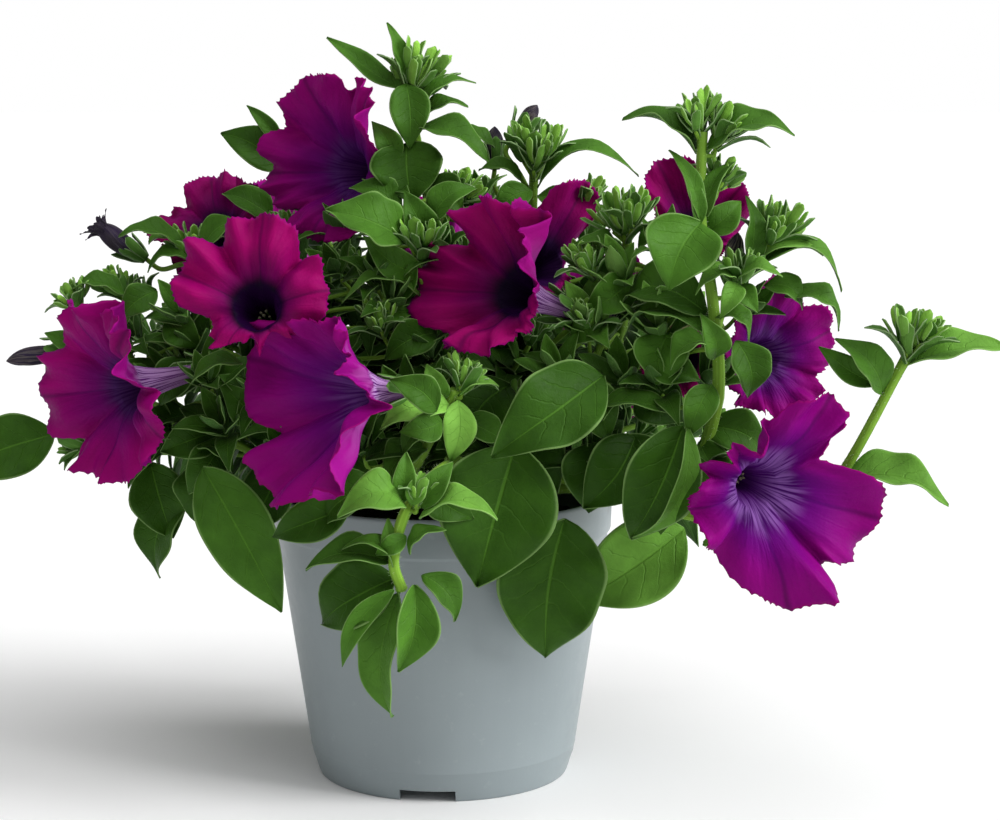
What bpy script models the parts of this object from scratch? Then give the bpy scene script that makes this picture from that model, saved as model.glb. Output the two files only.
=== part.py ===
"""Potted trailing petunia: pot, compost, root crown, stems, leaves, shoot tips, buds and blooms.

Metres, +Z up, origin at the centre of the pot's foot on the ground, the viewer on the -Y side.
Hand-chosen positions are (across, up, depth) in millimetres: across and up are read on a front
elevation standing on the pot's axis, and the depth then moves the point along the line of sight.
"""

import math

import bmesh
import bpy
from mathutils import Vector

MM = 0.001
OBJECT_NAME = "petunia_basket"

# Pot, all in millimetres
POT_HEIGHT = 110.0
POT_RIM_RADIUS = 65.2
WALL_RADIUS_AT_FLOOR = 49.5
WALL_SLOPE = 0.148
WALL_THICKNESS = 1.5
RIDGE_HEIGHT = 95.0
FOOT_OUTER = 47.8
FOOT_INNER = 45.4
FLOOR_UNDERSIDE = 5.0
FLOOR_TOP = 6.8
FLOOR_MIDDLE = 0.5 * (FLOOR_UNDERSIDE + FLOOR_TOP)
NOTCH_WIDTH = 21.0
NOTCH_HEIGHT = 4.4
NOTCH_ANGLES = (264.0, 24.0, 144.0)
DRAIN_RADIUS = 4.0
DRAIN_CIRCLE = 30.0
DRAIN_COUNT = 6
DRAIN_SIDES = 16
CUTTER_DEPTH = 9.0
CUTTER_MARGIN = 2.0
POT_STEPS = 54

# Compost and crown
COMPOST_TOP = 97.0
COMPOST_DOME = 3.0
COMPOST_GAP = 0.5
COMPOST_STEPS = 36
CROWN_RADIUS = 7.0
CROWN_HEIGHT = 11.0

# Plant
LEAF_THICKNESS = 0.7
PETAL_THICKNESS = 0.7
TUBE_LENGTH = 36.0
THROAT_RADIUS = 7.0
FUNNEL = 44.0
LOBES = 5
STEPS_PER_LOBE = 4
LEAF_ROWS = 6
STEM_SAMPLES = 8
STALK_GAP = 1.2
EYE = Vector((22.0, -1000.0, 295.0))

TOWARDS_VIEWER = (0.0, -1.0, 0.25)
OUT_LEFT = (-0.5, -0.8, 0.3)
BACKWARDS = (0.0, 1.0, 0.4)


# ---------------------------------------------------------------- scene and materials

def clear_scene():
    for old in list(bpy.data.objects):
        bpy.data.objects.remove(old, do_unlink=True)


def new_collection(name):
    collection = bpy.data.collections.new(name)
    bpy.context.scene.collection.children.link(collection)
    return collection


def principled(name, colour, roughness, sheen=0.0):
    material = bpy.data.materials.new(name)
    material.use_nodes = True
    shader = material.node_tree.nodes["Principled BSDF"]
    shader.inputs["Base Color"].default_value = (*colour, 1.0)
    shader.inputs["Roughness"].default_value = roughness
    shader.inputs["Sheen Weight"].default_value = sheen
    material.diffuse_color = (*colour, 1.0)
    return material


clear_scene()
PARTS = new_collection(OBJECT_NAME)
CUTTERS = new_collection(OBJECT_NAME + "_cutters")

LOOKS = {
    "pot": ("pot_plastic", (0.42, 0.47, 0.51), 0.45, 0.0),
    "compost": ("compost", (0.05, 0.032, 0.02), 0.95, 0.0),
    "crown": ("woody_crown", (0.16, 0.2, 0.06), 0.75, 0.0),
    "stem": ("stem_green", (0.3, 0.46, 0.1), 0.55, 0.3),
    "leaf": ("leaf_green", (0.07, 0.2, 0.035), 0.5, 0.3),
    "young": ("young_leaf_green", (0.2, 0.42, 0.05), 0.5, 0.3),
    "petal": ("petal_magenta", (0.26, 0.0, 0.16), 0.5, 0.5),
    "bud": ("bud_dark_violet", (0.03, 0.015, 0.05), 0.6, 0.3),
}


def finish(piece, look):
    """Give a piece its own material and put it in the parts collection."""
    name, colour, roughness, sheen = LOOKS[look]
    piece.data.materials.clear()
    piece.data.materials.append(principled(name + "_" + piece.name, colour, roughness, sheen))
    PARTS.objects.link(piece)
    return piece


def smooth(mesh):
    for face in mesh.polygons:
        face.use_smooth = True


def mesh_object(name, points, faces):
    mesh = bpy.data.meshes.new(name)
    mesh.from_pydata([tuple(p) for p in points], [], faces)
    mesh.validate()
    smooth(mesh)
    return bpy.data.objects.new(name, mesh)


# ---------------------------------------------------------------- placing

def at(across, up, depth):
    """Elevation point moved to a depth along the line of sight, in metres."""
    reach = 1.0 - depth / EYE.y
    x = EYE.x + (across - EYE.x) * reach
    z = EYE.z + (up - EYE.z) * reach
    return Vector((x, depth, z)) * MM


def flower_axes(turn, tilt):
    """Facing direction, right and up of a flower; turn 0 faces the viewer, positive to the right."""
    t = math.radians(turn)
    e = math.radians(tilt)
    axis = Vector((math.sin(t) * math.cos(e), -math.cos(t) * math.cos(e), math.sin(e)))
    right = Vector((math.cos(t), math.sin(t), 0.0))
    return axis, right, axis.cross(right)


# ---------------------------------------------------------------- turned pieces

def turned(name, profile, steps):
    """Screw a profile of (radius, height) millimetre pairs round the vertical axis."""
    points = [(r * MM, 0.0, z * MM) for r, z in profile]
    edges = [(i, i + 1) for i in range(len(points) - 1)]
    mesh = bpy.data.meshes.new(name)
    mesh.from_pydata(points, edges, [])
    piece = bpy.data.objects.new(name, mesh)
    screw = piece.modifiers.new("turn", "SCREW")
    screw.axis = "Z"
    screw.angle = math.tau
    screw.steps = steps
    screw.render_steps = steps
    screw.use_merge_vertices = True
    screw.merge_threshold = 0.00005
    screw.use_smooth_shade = True
    screw.use_normal_calculate = True
    return piece


def wall_radius(height):
    return WALL_RADIUS_AT_FLOOR + WALL_SLOPE * height


def pot_profile():
    inner = WALL_THICKNESS
    return [
        (0.0, FLOOR_TOP),
        (FOOT_INNER - 1.0, FLOOR_TOP),
        (wall_radius(10.0) - inner, 10.5),
        (wall_radius(RIDGE_HEIGHT) - inner, RIDGE_HEIGHT),
        (POT_RIM_RADIUS - 2.0, POT_HEIGHT - 1.0),
        (POT_RIM_RADIUS - 1.5, POT_HEIGHT),
        (POT_RIM_RADIUS - 0.5, POT_HEIGHT),
        (POT_RIM_RADIUS, POT_HEIGHT - 0.6),
        (POT_RIM_RADIUS - 0.7, RIDGE_HEIGHT + 1.2),
        (wall_radius(RIDGE_HEIGHT) + 0.1, RIDGE_HEIGHT),
        (wall_radius(12.0), 12.0),
        (wall_radius(8.0) - 0.1, 7.5),
        (FOOT_OUTER + 1.3, 3.2),
        (FOOT_OUTER + 0.4, 0.8),
        (FOOT_OUTER, 0.0),
        (FOOT_INNER, 0.0),
        (FOOT_INNER - 0.4, FLOOR_UNDERSIDE),
        (0.0, FLOOR_UNDERSIDE),
    ]


def cutter_object(name, solid, centre, angle=0.0):
    mesh = bpy.data.meshes.new(name)
    solid.to_mesh(mesh)
    solid.free()
    cutter = bpy.data.objects.new(name, mesh)
    cutter.location = centre
    cutter.rotation_euler = (0.0, 0.0, angle)
    return cutter


def box_cutter(name, size, centre, angle):
    solid = bmesh.new()
    bmesh.ops.create_cube(solid, size=MM)
    bmesh.ops.scale(solid, vec=size, verts=solid.verts)
    return cutter_object(name, solid, centre, angle)


def round_cutter(name, radius, height, centre, sides):
    solid = bmesh.new()
    bmesh.ops.create_cone(solid, cap_ends=True, segments=sides, radius1=radius * MM, radius2=radius * MM,
                          depth=height * MM)
    return cutter_object(name, solid, centre)


def add_pot():
    pot = turned("pot", pot_profile(), POT_STEPS)
    finish(pot, "pot")
    cutters = []
    for count, degrees in enumerate(NOTCH_ANGLES):
        a = math.radians(degrees)
        out = Vector((math.cos(a), math.sin(a), 0.0)) * FOOT_OUTER
        middle = (out + Vector((0.0, 0.0, 0.5 * (NOTCH_HEIGHT - CUTTER_MARGIN)))) * MM
        size = (CUTTER_DEPTH, NOTCH_WIDTH, NOTCH_HEIGHT + CUTTER_MARGIN)
        cutters.append(box_cutter("notch_cutter_%d" % count, size, middle, a))
    for count in range(DRAIN_COUNT):
        a = math.tau * (count + 0.5) / DRAIN_COUNT
        middle = Vector((math.cos(a) * DRAIN_CIRCLE, math.sin(a) * DRAIN_CIRCLE, FLOOR_MIDDLE)) * MM
        cutters.append(round_cutter("drain_cutter_%d" % count, DRAIN_RADIUS, CUTTER_DEPTH, middle,
                                    DRAIN_SIDES))
    for cutter in cutters:
        CUTTERS.objects.link(cutter)
        cutter.hide_render = True
        cutter.display_type = "WIRE"
        cut = pot.modifiers.new("cut_" + cutter.name, "BOOLEAN")
        cut.operation = "DIFFERENCE"
        cut.solver = "EXACT"
        cut.object = cutter
    return pot


def add_compost():
    lowest = FLOOR_TOP + COMPOST_GAP
    gap = WALL_THICKNESS + COMPOST_GAP
    profile = [
        (0.0, COMPOST_TOP + COMPOST_DOME),
        (24.0, COMPOST_TOP + COMPOST_DOME * 0.7),
        (46.0, COMPOST_TOP + COMPOST_DOME * 0.1),
        (wall_radius(COMPOST_TOP - 3.0) - gap - 3.0, COMPOST_TOP - 1.0),
        (wall_radius(COMPOST_TOP - 6.0) - gap, COMPOST_TOP - 6.0),
        (wall_radius(11.0) - gap - 0.2, 11.5),
        (FOOT_INNER - 2.0, lowest),
        (0.0, lowest),
    ]
    return finish(turned("compost", profile, COMPOST_STEPS), "compost")


def add_crown():
    base = COMPOST_TOP + COMPOST_DOME + 0.4
    profile = [
        (0.0, base + CROWN_HEIGHT),
        (CROWN_RADIUS * 0.6, base + CROWN_HEIGHT * 0.85),
        (CROWN_RADIUS, base + CROWN_HEIGHT * 0.45),
        (CROWN_RADIUS * 0.8, base + 1.0),
        (CROWN_RADIUS * 0.6, base),
        (0.0, base),
    ]
    return finish(turned("root_crown", profile, 16), "crown")


# ---------------------------------------------------------------- stems

def smooth_path(points, samples):
    """Catmull-Rom path through the given points, ends included."""
    knots = [points[0] * 2.0 - points[1]] + list(points) + [points[-1] * 2.0 - points[-2]]
    spans = len(points) - 1
    path = []
    for step in range(samples + 1):
        where = step * spans / samples
        i = min(int(where), spans - 1)
        t = where - i
        a, b, c, d = knots[i:i + 4]
        path.append(0.5 * (2.0 * b + (c - a) * t + (2.0 * a - 5.0 * b + 4.0 * c - d) * t * t
                           + (3.0 * b - a - 3.0 * c + d) * t * t * t))
    return path


def tube_mesh(name, path, thick, thin):
    """Round tapering bar along a path, as a closed mesh; end radii in millimetres."""
    curve = bpy.data.curves.new(name + "_path", "CURVE")
    curve.dimensions = "3D"
    curve.bevel_depth = MM
    curve.bevel_resolution = 1
    curve.use_fill_caps = True
    spline = curve.splines.new("POLY")
    spline.points.add(len(path) - 1)
    for i, (knot, place) in enumerate(zip(spline.points, path)):
        knot.co = (*place, 1.0)
        knot.radius = thick + (thin - thick) * i / (len(path) - 1)
    holder = bpy.data.objects.new(name + "_path", curve)
    bpy.context.scene.collection.objects.link(holder)
    graph = bpy.context.evaluated_depsgraph_get()
    mesh = bpy.data.meshes.new_from_object(holder.evaluated_get(graph))
    bpy.data.objects.remove(holder, do_unlink=True)
    mesh.name = name
    tube = bmesh.new()
    tube.from_mesh(mesh)
    bmesh.ops.remove_doubles(tube, verts=tube.verts, dist=0.00001)
    bmesh.ops.recalc_face_normals(tube, faces=tube.faces)
    tube.to_mesh(mesh)
    tube.free()
    smooth(mesh)
    return mesh


STEM_PATHS = {}
STEMS = {}


def add_stem(name, points, thick, thin):
    """A tapering round stem through elevation points; thick and thin are end radii in mm."""
    path = smooth_path([at(*p) for p in points], STEM_SAMPLES)
    STEM_PATHS[name] = path
    STEMS[name] = finish(bpy.data.objects.new(name, tube_mesh(name, path, thick, thin)), "stem")


def add_twig(stem, share, end, aim, thin=0.8):
    """A side stalk from a share of a stem's length to end, arriving along aim, joined to the stem."""
    path = STEM_PATHS[stem]
    start = path[min(int(round(share * (len(path) - 1))), len(path) - 1)]
    run_in = end - aim * min(7.0 * MM, 0.35 * (end - start).length)
    middle = start.lerp(run_in, 0.5) + Vector((0.0, 0.0, 0.04)) * (end - start).length
    name = "%s_twig_%d" % (stem, len(STEMS[stem].modifiers))
    stalk = bpy.data.objects.new(name, tube_mesh(name, [start, middle, run_in, end], 1.3, thin))
    CUTTERS.objects.link(stalk)
    stalk.hide_render = True
    stalk.display_type = "WIRE"
    join = STEMS[stem].modifiers.new("join_" + name, "BOOLEAN")
    join.operation = "UNION"
    join.solver = "EXACT"
    join.object = stalk


# ---------------------------------------------------------------- leaves

def blade_width(t):
    """Ovate outline, 0 at the ends and 1 at the widest part."""
    return (t ** 0.62) * ((1.0 - t) ** 0.6) / 0.4378


def add_leaf(name, growth, base, tip, width, face=TOWARDS_VIEWER, arch=0.14, fold=0.2, look="leaf"):
    """One blade from its stalk end to its tip, on a twig of growth = (stem, share) unless None.

    arch lifts the middle of the midrib along the face direction, fold lifts the two margins.
    """
    a = at(*base)
    b = at(*tip)
    along = b - a
    length = along.length
    forward = along / length
    side = forward.cross(Vector(face)).normalized()
    normal = side.cross(forward).normalized()
    if growth:
        leaving = (forward + normal * arch * 4.0).normalized()
        add_twig(growth[0], growth[1], a - leaving * STALK_GAP * MM, leaving)
    points = []
    for row in range(LEAF_ROWS + 1):
        t = row / LEAF_ROWS
        half = max(0.5 * width * blade_width(t), 0.7 if row == 0 else 0.4) * MM
        centre = a + along * t + normal * (arch * length * 4.0 * t * (1.0 - t))
        rise = fold * half
        points.append(centre - side * half + normal * rise)
        points.append(centre)
        points.append(centre + side * half + normal * rise)
    faces = []
    for row in range(LEAF_ROWS):
        for column in range(2):
            i = row * 3 + column
            faces.append((i, i + 1, i + 4, i + 3))
    leaf = mesh_object(name, points, faces)
    shell = leaf.modifiers.new("blade_thickness", "SOLIDIFY")
    shell.thickness = LEAF_THICKNESS * MM
    shell.offset = 0.0
    return finish(leaf, look)


# ---------------------------------------------------------------- blooms

def lobe_blend(values, angle, spin):
    """Smooth mix of the five lobe values at an angle, degrees."""
    total = 0.0
    weight_sum = 0.0
    for i, value in enumerate(values):
        away = abs((angle - spin - 72.0 * i + 180.0) % 360.0 - 180.0)
        if away < 72.0:
            weight = math.cos(math.radians(away * 1.25)) ** 2
            total += value * weight
            weight_sum += weight
    return total / weight_sum


def notch(angle, spin):
    """Edge shortening between two lobes."""
    away = abs((angle - spin + 36.0) % 72.0 - 36.0)
    return 1.0 - 0.2 * (away / 36.0) ** 3


def add_corolla(name, growth, throat, turn, tilt, spin, lengths, bends, tube=TUBE_LENGTH):
    """A funnel: closed slim tube, flared throat and a limb of five lobes.

    lengths are lobe reaches along the limb from the flower's axis in mm; the limb leaves the
    throat at the funnel's slope, and bends turn each lobe back (positive) or forward (negative)
    in degrees on its way to the edge.
    """
    centre = at(*throat)
    axis, right, up = flower_axes(turn, tilt)
    add_twig(growth[0], growth[1], centre - axis * (tube + STALK_GAP) * MM, axis, 1.1)
    shape = [(1.6, -tube), (2.6, -tube * 0.8), (3.6, -tube * 0.42), (THROAT_RADIUS, -3.0)]
    limb = (0.45, 1.0)
    around = LOBES * STEPS_PER_LOBE
    points = []
    for radius, depth in shape:
        for k in range(around):
            angle = math.radians(360.0 * k / around + spin)
            out = right * math.sin(angle) + up * math.cos(angle)
            points.append(centre + (out * radius + axis * depth) * MM)
    for share in limb:
        for k in range(around):
            degrees = 360.0 * k / around + spin
            angle = math.radians(degrees)
            out = right * math.sin(angle) + up * math.cos(angle)
            reach = (lobe_blend(lengths, degrees, spin) * notch(degrees, spin) - THROAT_RADIUS) * share
            curl = math.radians(lobe_blend(bends, degrees, spin) * share - FUNNEL * (1.0 - 0.31 * share))
            radial = THROAT_RADIUS + reach * math.cos(curl)
            axial = -reach * math.sin(curl)
            points.append(centre + (out * radial + axis * axial) * MM)
    rings = len(shape) + len(limb)
    faces = [tuple(range(around))]
    for ring in range(rings - 1):
        for k in range(around):
            n = (k + 1) % around
            i = ring * around
            faces.append((i + k, i + around + k, i + around + n, i + n))
    corolla = mesh_object(name, points, faces)
    shell = corolla.modifiers.new("petal_thickness", "SOLIDIFY")
    shell.thickness = PETAL_THICKNESS * MM
    shell.offset = 0.0
    return finish(corolla, "petal")


# ---------------------------------------------------------------- spindles: buds and shoot tips

def add_spindle(name, root, tip, profile, lobes, depth, look):
    """A closed spindle from root to tip with lobed rings; profile holds (share, radius) pairs."""
    a = at(*root)
    b = at(*tip)
    forward = (b - a).normalized()
    side = forward.cross(Vector((0.0, 1.0, 0.2))).normalized()
    other = forward.cross(side)
    around = lobes * 2
    points = [a]
    for share, radius in profile:
        for k in range(around):
            angle = math.tau * k / around
            r = radius * (1.0 if k % 2 == 0 else 1.0 - depth)
            points.append(a.lerp(b, share) + (side * math.cos(angle) + other * math.sin(angle)) * r * MM)
    points.append(b)
    last = len(points) - 1
    faces = []
    for k in range(around):
        n = (k + 1) % around
        faces.append((0, 1 + n, 1 + k))
        for ring in range(len(profile) - 1):
            i = 1 + ring * around
            faces.append((i + k, i + n, i + around + n, i + around + k))
        i = 1 + (len(profile) - 1) * around
        faces.append((i + k, i + n, last))
    return finish(mesh_object(name, points, faces), look)


TUFT = [(0.04, 2.2), (0.35, 7.0), (0.75, 9.0), (0.95, 4.5)]
BUD = [(0.03, 2.0), (0.35, 3.6), (0.75, 4.0), (0.94, 1.6)]


def add_shoot_tip(name, growth, root, tip, size=1.0):
    if growth:
        aim = (at(*tip) - at(*root)).normalized()
        add_twig(growth[0], growth[1], at(*root) - aim * STALK_GAP * MM, aim)
    profile = [(share, radius * size) for share, radius in TUFT]
    return add_spindle(name, root, tip, profile, 5, 0.35, "young")


def add_bud(name, growth, root, tip, size=1.0):
    aim = (at(*tip) - at(*root)).normalized()
    add_twig(growth[0], growth[1], at(*root) - aim * STALK_GAP * MM, aim)
    profile = [(share, radius * size) for share, radius in BUD]
    return add_spindle(name, root, tip, profile, 5, 0.15, "bud")


# ---------------------------------------------------------------- the whole plant

add_pot()
add_compost()
add_crown()

add_stem("stem_top_left", [(-3, 113, 0), (0, 150, 4), (-2, 200, 0), (-8, 236, -6), (-13, 259, -14)],
         2.4, 1.9)
add_stem("stem_top_middle", [(4, 114, 6), (18, 150, 12), (32, 190, 8), (34, 226, 2)], 2.4, 1.9)
add_stem("stem_right_middle", [(9, 112, 0), (40, 130, -6), (64, 160, -26), (70, 186, -34),
                               (71, 204, -36)], 2.4, 1.9)
add_stem("stem_right_tall", [(11, 108, -6), (62, 112, -46), (94, 118, -66), (105, 145, -72),
                             (103, 180, -72), (98, 212, -72), (97, 240, -72)], 3.2, 2.0)
add_stem("stem_right_low", [(11, 104, -14), (50, 116, -56), (95, 101, -76), (132, 96, -66),
                            (152, 114, -84), (175, 157, -95)], 2.4, 1.9)
add_stem("stem_front_hanging", [(3, 104, -14), (7, 119, -56), (-2, 116, -86), (-14, 101, -104),
                                (-19, 82, -103), (-17, 72, -100)], 2.4, 2.2)
add_stem("stem_front_short", [(-7, 107, -11), (-11, 116, -44), (-6, 126, -66), (2, 142, -74)], 2.2, 1.8)
add_stem("stem_left_front", [(-10, 108, -6), (-34, 132, -24), (-52, 158, -28), (-60, 176, -30)], 2.2, 1.8)
add_stem("stem_left_upper", [(-9, 111, 4), (-40, 146, 14), (-70, 176, 10), (-88, 190, 2)], 2.2, 1.8)
add_stem("stem_left_long", [(-11, 105, 2), (-58, 118, 6), (-100, 140, -2), (-124, 166, -4),
                            (-134, 176, -4)], 2.4, 1.8)
add_stem("stem_left_low", [(-10, 109, 9), (-34, 119, 16), (-64, 123, 27), (-110, 127, 38),
                           (-145, 130, 40)], 2.2, 1.7)
add_stem("stem_back_left", [(-5, 108, 11), (-30, 132, 46), (-44, 162, 68), (-47, 186, 76)], 2.3, 1.8)
add_stem("stem_back_right", [(7, 107, 11), (30, 128, 44), (44, 150, 64), (50, 164, 72)], 2.3, 1.8)

add_corolla("corolla_top_left", ("stem_top_left", 0.75), (-33, 231, -12), -46, 4, -22,
            (46, 38, 20, 32, 40), (-8, -4, 30, 4, 2))
add_corolla("corolla_far_left", ("stem_left_upper", 0.62), (-85, 208, 26), -24, 44, -22,
            (26, 26, 22, 22, 24), (-4, -14, 0, 0, 10), 28)
add_corolla("corolla_front_left", ("stem_left_front", 1.0), (-69, 183, -72), -8, 14, 4,
            (29, 24, 15, 18, 29), (8, 22, 40, 34, 14), 34)
add_corolla("corolla_left", ("stem_left_long", 0.62), (-119, 149, -50), -50, -6, -26,
            (40, 34, 28, 36, 42), (-4, -10, 16, 4, 4))
add_corolla("corolla_front_middle", ("stem_front_short", 0.62), (-29, 147, -86), -66, 0, -10,
            (28, 18, 32, 44, 52), (2, -10, -10, 2, 4), 24)
add_corolla("corolla_middle", ("stem_right_middle", 0.62), (29, 185, -64), -52, 20, -26,
            (38, 32, 18, 27, 40), (-4, -10, 16, 2, 2), 28)
add_corolla("corolla_middle_behind", ("stem_top_middle", 0.62), (38, 196, -24), 30, 20, 34,
            (32, 15, 12, 12, 15), (-6, -4, 0, 0, 0), 24)
add_corolla("corolla_right", ("stem_right_middle", 0.5), (121, 160, -42), 28, 2, 0,
            (31, 28, 26, 20, 22), (0, 8, 4, 0, 4), 30)
add_corolla("corolla_front_right", ("stem_right_tall", 0.38), (120, 111, -100), 26, -4, 34,
            (38, 46, 38, 26, 22), (2, 2, 2, 12, -6), 30)
add_corolla("corolla_right_behind", ("stem_top_middle", 0.62), (96, 206, -8), 4, 24, -28,
            (30, 26, 14, 12, 16), (-4, -4, 0, 0, -6), 30)
add_corolla("corolla_back_left", ("stem_back_left", 1.0), (-62, 196, 100), -150, 10, 15,
            (34, 32, 34, 36, 34), (10, 14, 6, 12, 10), 30)
add_corolla("corolla_back_right", ("stem_back_right", 1.0), (62, 168, 100), 160, 0, -20,
            (36, 34, 30, 36, 38), (14, 6, 4, 14, 10), 30)

add_bud("bud_far_left", ("stem_left_upper", 1.0), (-112, 198, 14), (-130, 211, 12), 1.1)
add_bud("bud_left", ("stem_left_long", 0.75), (-138, 164, 2), (-163, 159, -2), 1.0)
add_bud("bud_right", ("stem_right_tall", 0.62), (110, 190, -58), (112, 207, -60), 1.15)

add_shoot_tip("shoot_tip_top_left", None, (-11, 262, -16), (-4, 284, -16))
add_shoot_tip("shoot_tip_top_middle", None, (34, 229, 1), (36, 255, 0), 1.1)
add_shoot_tip("shoot_tip_right_middle", None, (70, 207, -37), (69, 226, -40), 1.1)
add_shoot_tip("shoot_tip_right_tall", None, (97, 243, -72), (99, 264, -72), 0.7)
add_shoot_tip("shoot_tip_right_low", None, (176, 160, -96), (183, 179, -98), 0.8)
add_shoot_tip("shoot_tip_right_side", ("stem_right_tall", 0.62), (124, 200, -62), (130, 217, -62), 0.9)
add_shoot_tip("shoot_tip_left", None, (-90, 193, 3), (-97, 212, 2), 0.8)

add_leaf("leaf_far_left", None, (-150, 131, 40), (-186.6, 118, 40), 25)
add_leaf("leaf_left_lower", ("stem_left_long", 0.5), (-99, 112, -6), (-112, 74.5, -4), 21, OUT_LEFT)
add_leaf("leaf_left_front", ("stem_left_long", 0.38), (-92, 116, -40), (-62, 61, -52), 26)
add_leaf("leaf_hanging_long", ("stem_front_hanging", 1.0), (-18, 66, -99), (-23.5, 19, -97), 18)
add_leaf("leaf_hanging_curled", ("stem_front_hanging", 1.0), (-10, 70, -108), (-17, 37, -111), 15,
         (0.3, -1.0, 0.2))
add_leaf("leaf_bright_left", ("stem_front_hanging", 0.62), (-19, 105, -108), (-40, 100, -116), 14,
         (-0.1, -0.8, 0.6), 0.3, 0.1, "young")
add_leaf("leaf_bright_right", ("stem_front_hanging", 0.62), (-8, 98, -106), (21, 98, -112), 9,
         (0.1, -0.4, 1.0), 0.22, 0.2, "young")
add_leaf("leaf_broad_front", ("stem_front_hanging", 0.25), (28, 126, -72), (13, 71, -80), 42,
         (0.0, -1.0, 0.2), 0.08, 0.12)
add_leaf("leaf_broad_upper", ("stem_right_middle", 0.5), (61, 153, -74), (19, 123, -90), 27,
         (0.1, -0.9, 0.5))
add_leaf("leaf_broad_lower", ("stem_right_low", 0.25), (47, 96, -60), (40, 42, -62), 39,
         (0.1, -1.0, 0.2), 0.08, 0.12)
add_leaf("leaf_right_rim", ("stem_right_low", 0.38), (93, 93, -44), (52, 65, -48), 34,
         (0.2, -1.0, 0.4), 0.08, 0.12)
add_leaf("leaf_right_inner", ("stem_right_tall", 0.38), (91, 131, -80), (72, 90, -77), 25)
add_leaf("leaf_right_grey", ("stem_right_tall", 0.75), (99, 210, -80), (86, 187, -90), 22,
         (0.0, -0.9, 0.5), 0.12)
add_leaf("leaf_right_shoot_low", ("stem_right_low", 0.75), (156, 111, -86), (194, 106, -96), 10,
         (0.0, -0.3, 1.0), 0.16)
add_leaf("leaf_right_shoot_tip", None, (180, 160, -97), (212.9, 164, -97), 9, (0.0, -0.4, 1.0), 0.08)
add_leaf("leaf_top_right", None, (101, 239, -73), (132, 247, -80), 10, (-0.2, -0.3, 1.0), 0.14)
add_leaf("leaf_top_left", None, (93, 240, -72), (69, 253, -64), 9, (0.3, -0.3, 1.0), 0.12)
add_leaf("leaf_over_bloom", ("stem_top_left", 0.62), (-16, 207, -44), (-43, 217, -52), 18,
         (-0.1, -0.8, 0.7))
add_leaf("leaf_back_left", ("stem_back_left", 0.62), (-72, 150, 96), (-104, 112, 118), 28, BACKWARDS)
add_leaf("leaf_back_middle", ("stem_back_right", 0.25), (-8, 138, 74), (-14, 80, 106), 32, BACKWARDS)
add_leaf("leaf_back_right", ("stem_back_right", 0.75), (72, 132, 88), (98, 90, 112), 30, BACKWARDS)

bpy.context.view_layer.update()
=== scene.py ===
# %% [markdown]
# # A potted trailing petunia
# A bushy petunia in a grey grower's pot: stems trail over the rim, broad hairy leaves hang in
# front of it, and ruffled magenta-purple funnels stand all round. The packed model gives the
# frame: where the pot, the stems and the main leaves and blooms are. This lesson builds the
# looks round it, one kind of piece at a time, in metres, +Z up, the viewer on the -Y side.

# %% Load the frame
import math
import random

import bmesh
import bpy
from mathutils import Matrix, Vector, noise


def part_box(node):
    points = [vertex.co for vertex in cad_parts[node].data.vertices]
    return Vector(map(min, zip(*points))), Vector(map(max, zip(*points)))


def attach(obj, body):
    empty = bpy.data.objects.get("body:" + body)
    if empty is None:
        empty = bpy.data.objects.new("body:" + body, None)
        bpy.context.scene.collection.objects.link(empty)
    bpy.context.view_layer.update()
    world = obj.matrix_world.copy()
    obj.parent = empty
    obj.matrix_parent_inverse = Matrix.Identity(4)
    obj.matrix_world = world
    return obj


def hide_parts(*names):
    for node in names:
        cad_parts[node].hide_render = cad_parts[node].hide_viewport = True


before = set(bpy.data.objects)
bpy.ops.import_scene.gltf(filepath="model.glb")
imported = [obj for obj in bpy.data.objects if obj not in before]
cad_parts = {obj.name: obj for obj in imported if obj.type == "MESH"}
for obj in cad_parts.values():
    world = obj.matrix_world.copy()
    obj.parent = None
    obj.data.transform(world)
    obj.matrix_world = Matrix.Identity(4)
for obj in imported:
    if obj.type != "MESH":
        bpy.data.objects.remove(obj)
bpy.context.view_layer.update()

MM = 0.001

# %% [markdown]
# Every place below is written as (across, up, depth) in millimetres on a front elevation.
# One could type plain x, y, z, but a plant is easier to lay out as one sees it. So the depth
# slides a point along the line of sight of an eye one metre in front: it comes nearer or goes
# further, and still covers the same spot of the elevation.

# %% Places and directions
EYE = Vector((22.0, -1000.0, 295.0))


def at(across, up, depth):
    """Elevation point at a depth, in metres."""
    reach = 1.0 - depth / EYE.y
    return Vector((EYE.x + (across - EYE.x) * reach, depth, EYE.z + (up - EYE.z) * reach)) * MM


def flower_axes(turn, tilt):
    """Axis, right and up of a bloom: turn 0 faces the viewer, positive to the right."""
    t, e = math.radians(turn), math.radians(tilt)
    axis = Vector((math.sin(t) * math.cos(e), -math.cos(t) * math.cos(e), math.sin(e)))
    right = Vector((math.cos(t), math.sin(t), 0.0))
    return axis, right, axis.cross(right)


FACES = {
    "F": Vector((0.0, -1.0, 0.3)),
    "U": Vector((0.0, -0.45, 1.0)),
    "L": Vector((-0.6, -0.8, 0.3)),
    "R": Vector((0.6, -0.8, 0.3)),
    "T": Vector((0.0, -0.8, 0.7)),
    "B": Vector((0.0, 1.0, 0.4)),
}
print("a point at the rim:", tuple(round(v, 4) for v in at(65.0, 110.0, 0.0)))

# %% [markdown]
# ## Shader groups
# Leaf, sepal, stem and petal share a few effects: a soft mottle, veins that run out from the
# midrib, and a pale hairy margin. Each effect could be repeated in every material. A node group
# is better: it is built once, has named sockets, and each material places it with its own
# values. The groups give out masks and values only, and the shader stays in the material.

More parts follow.
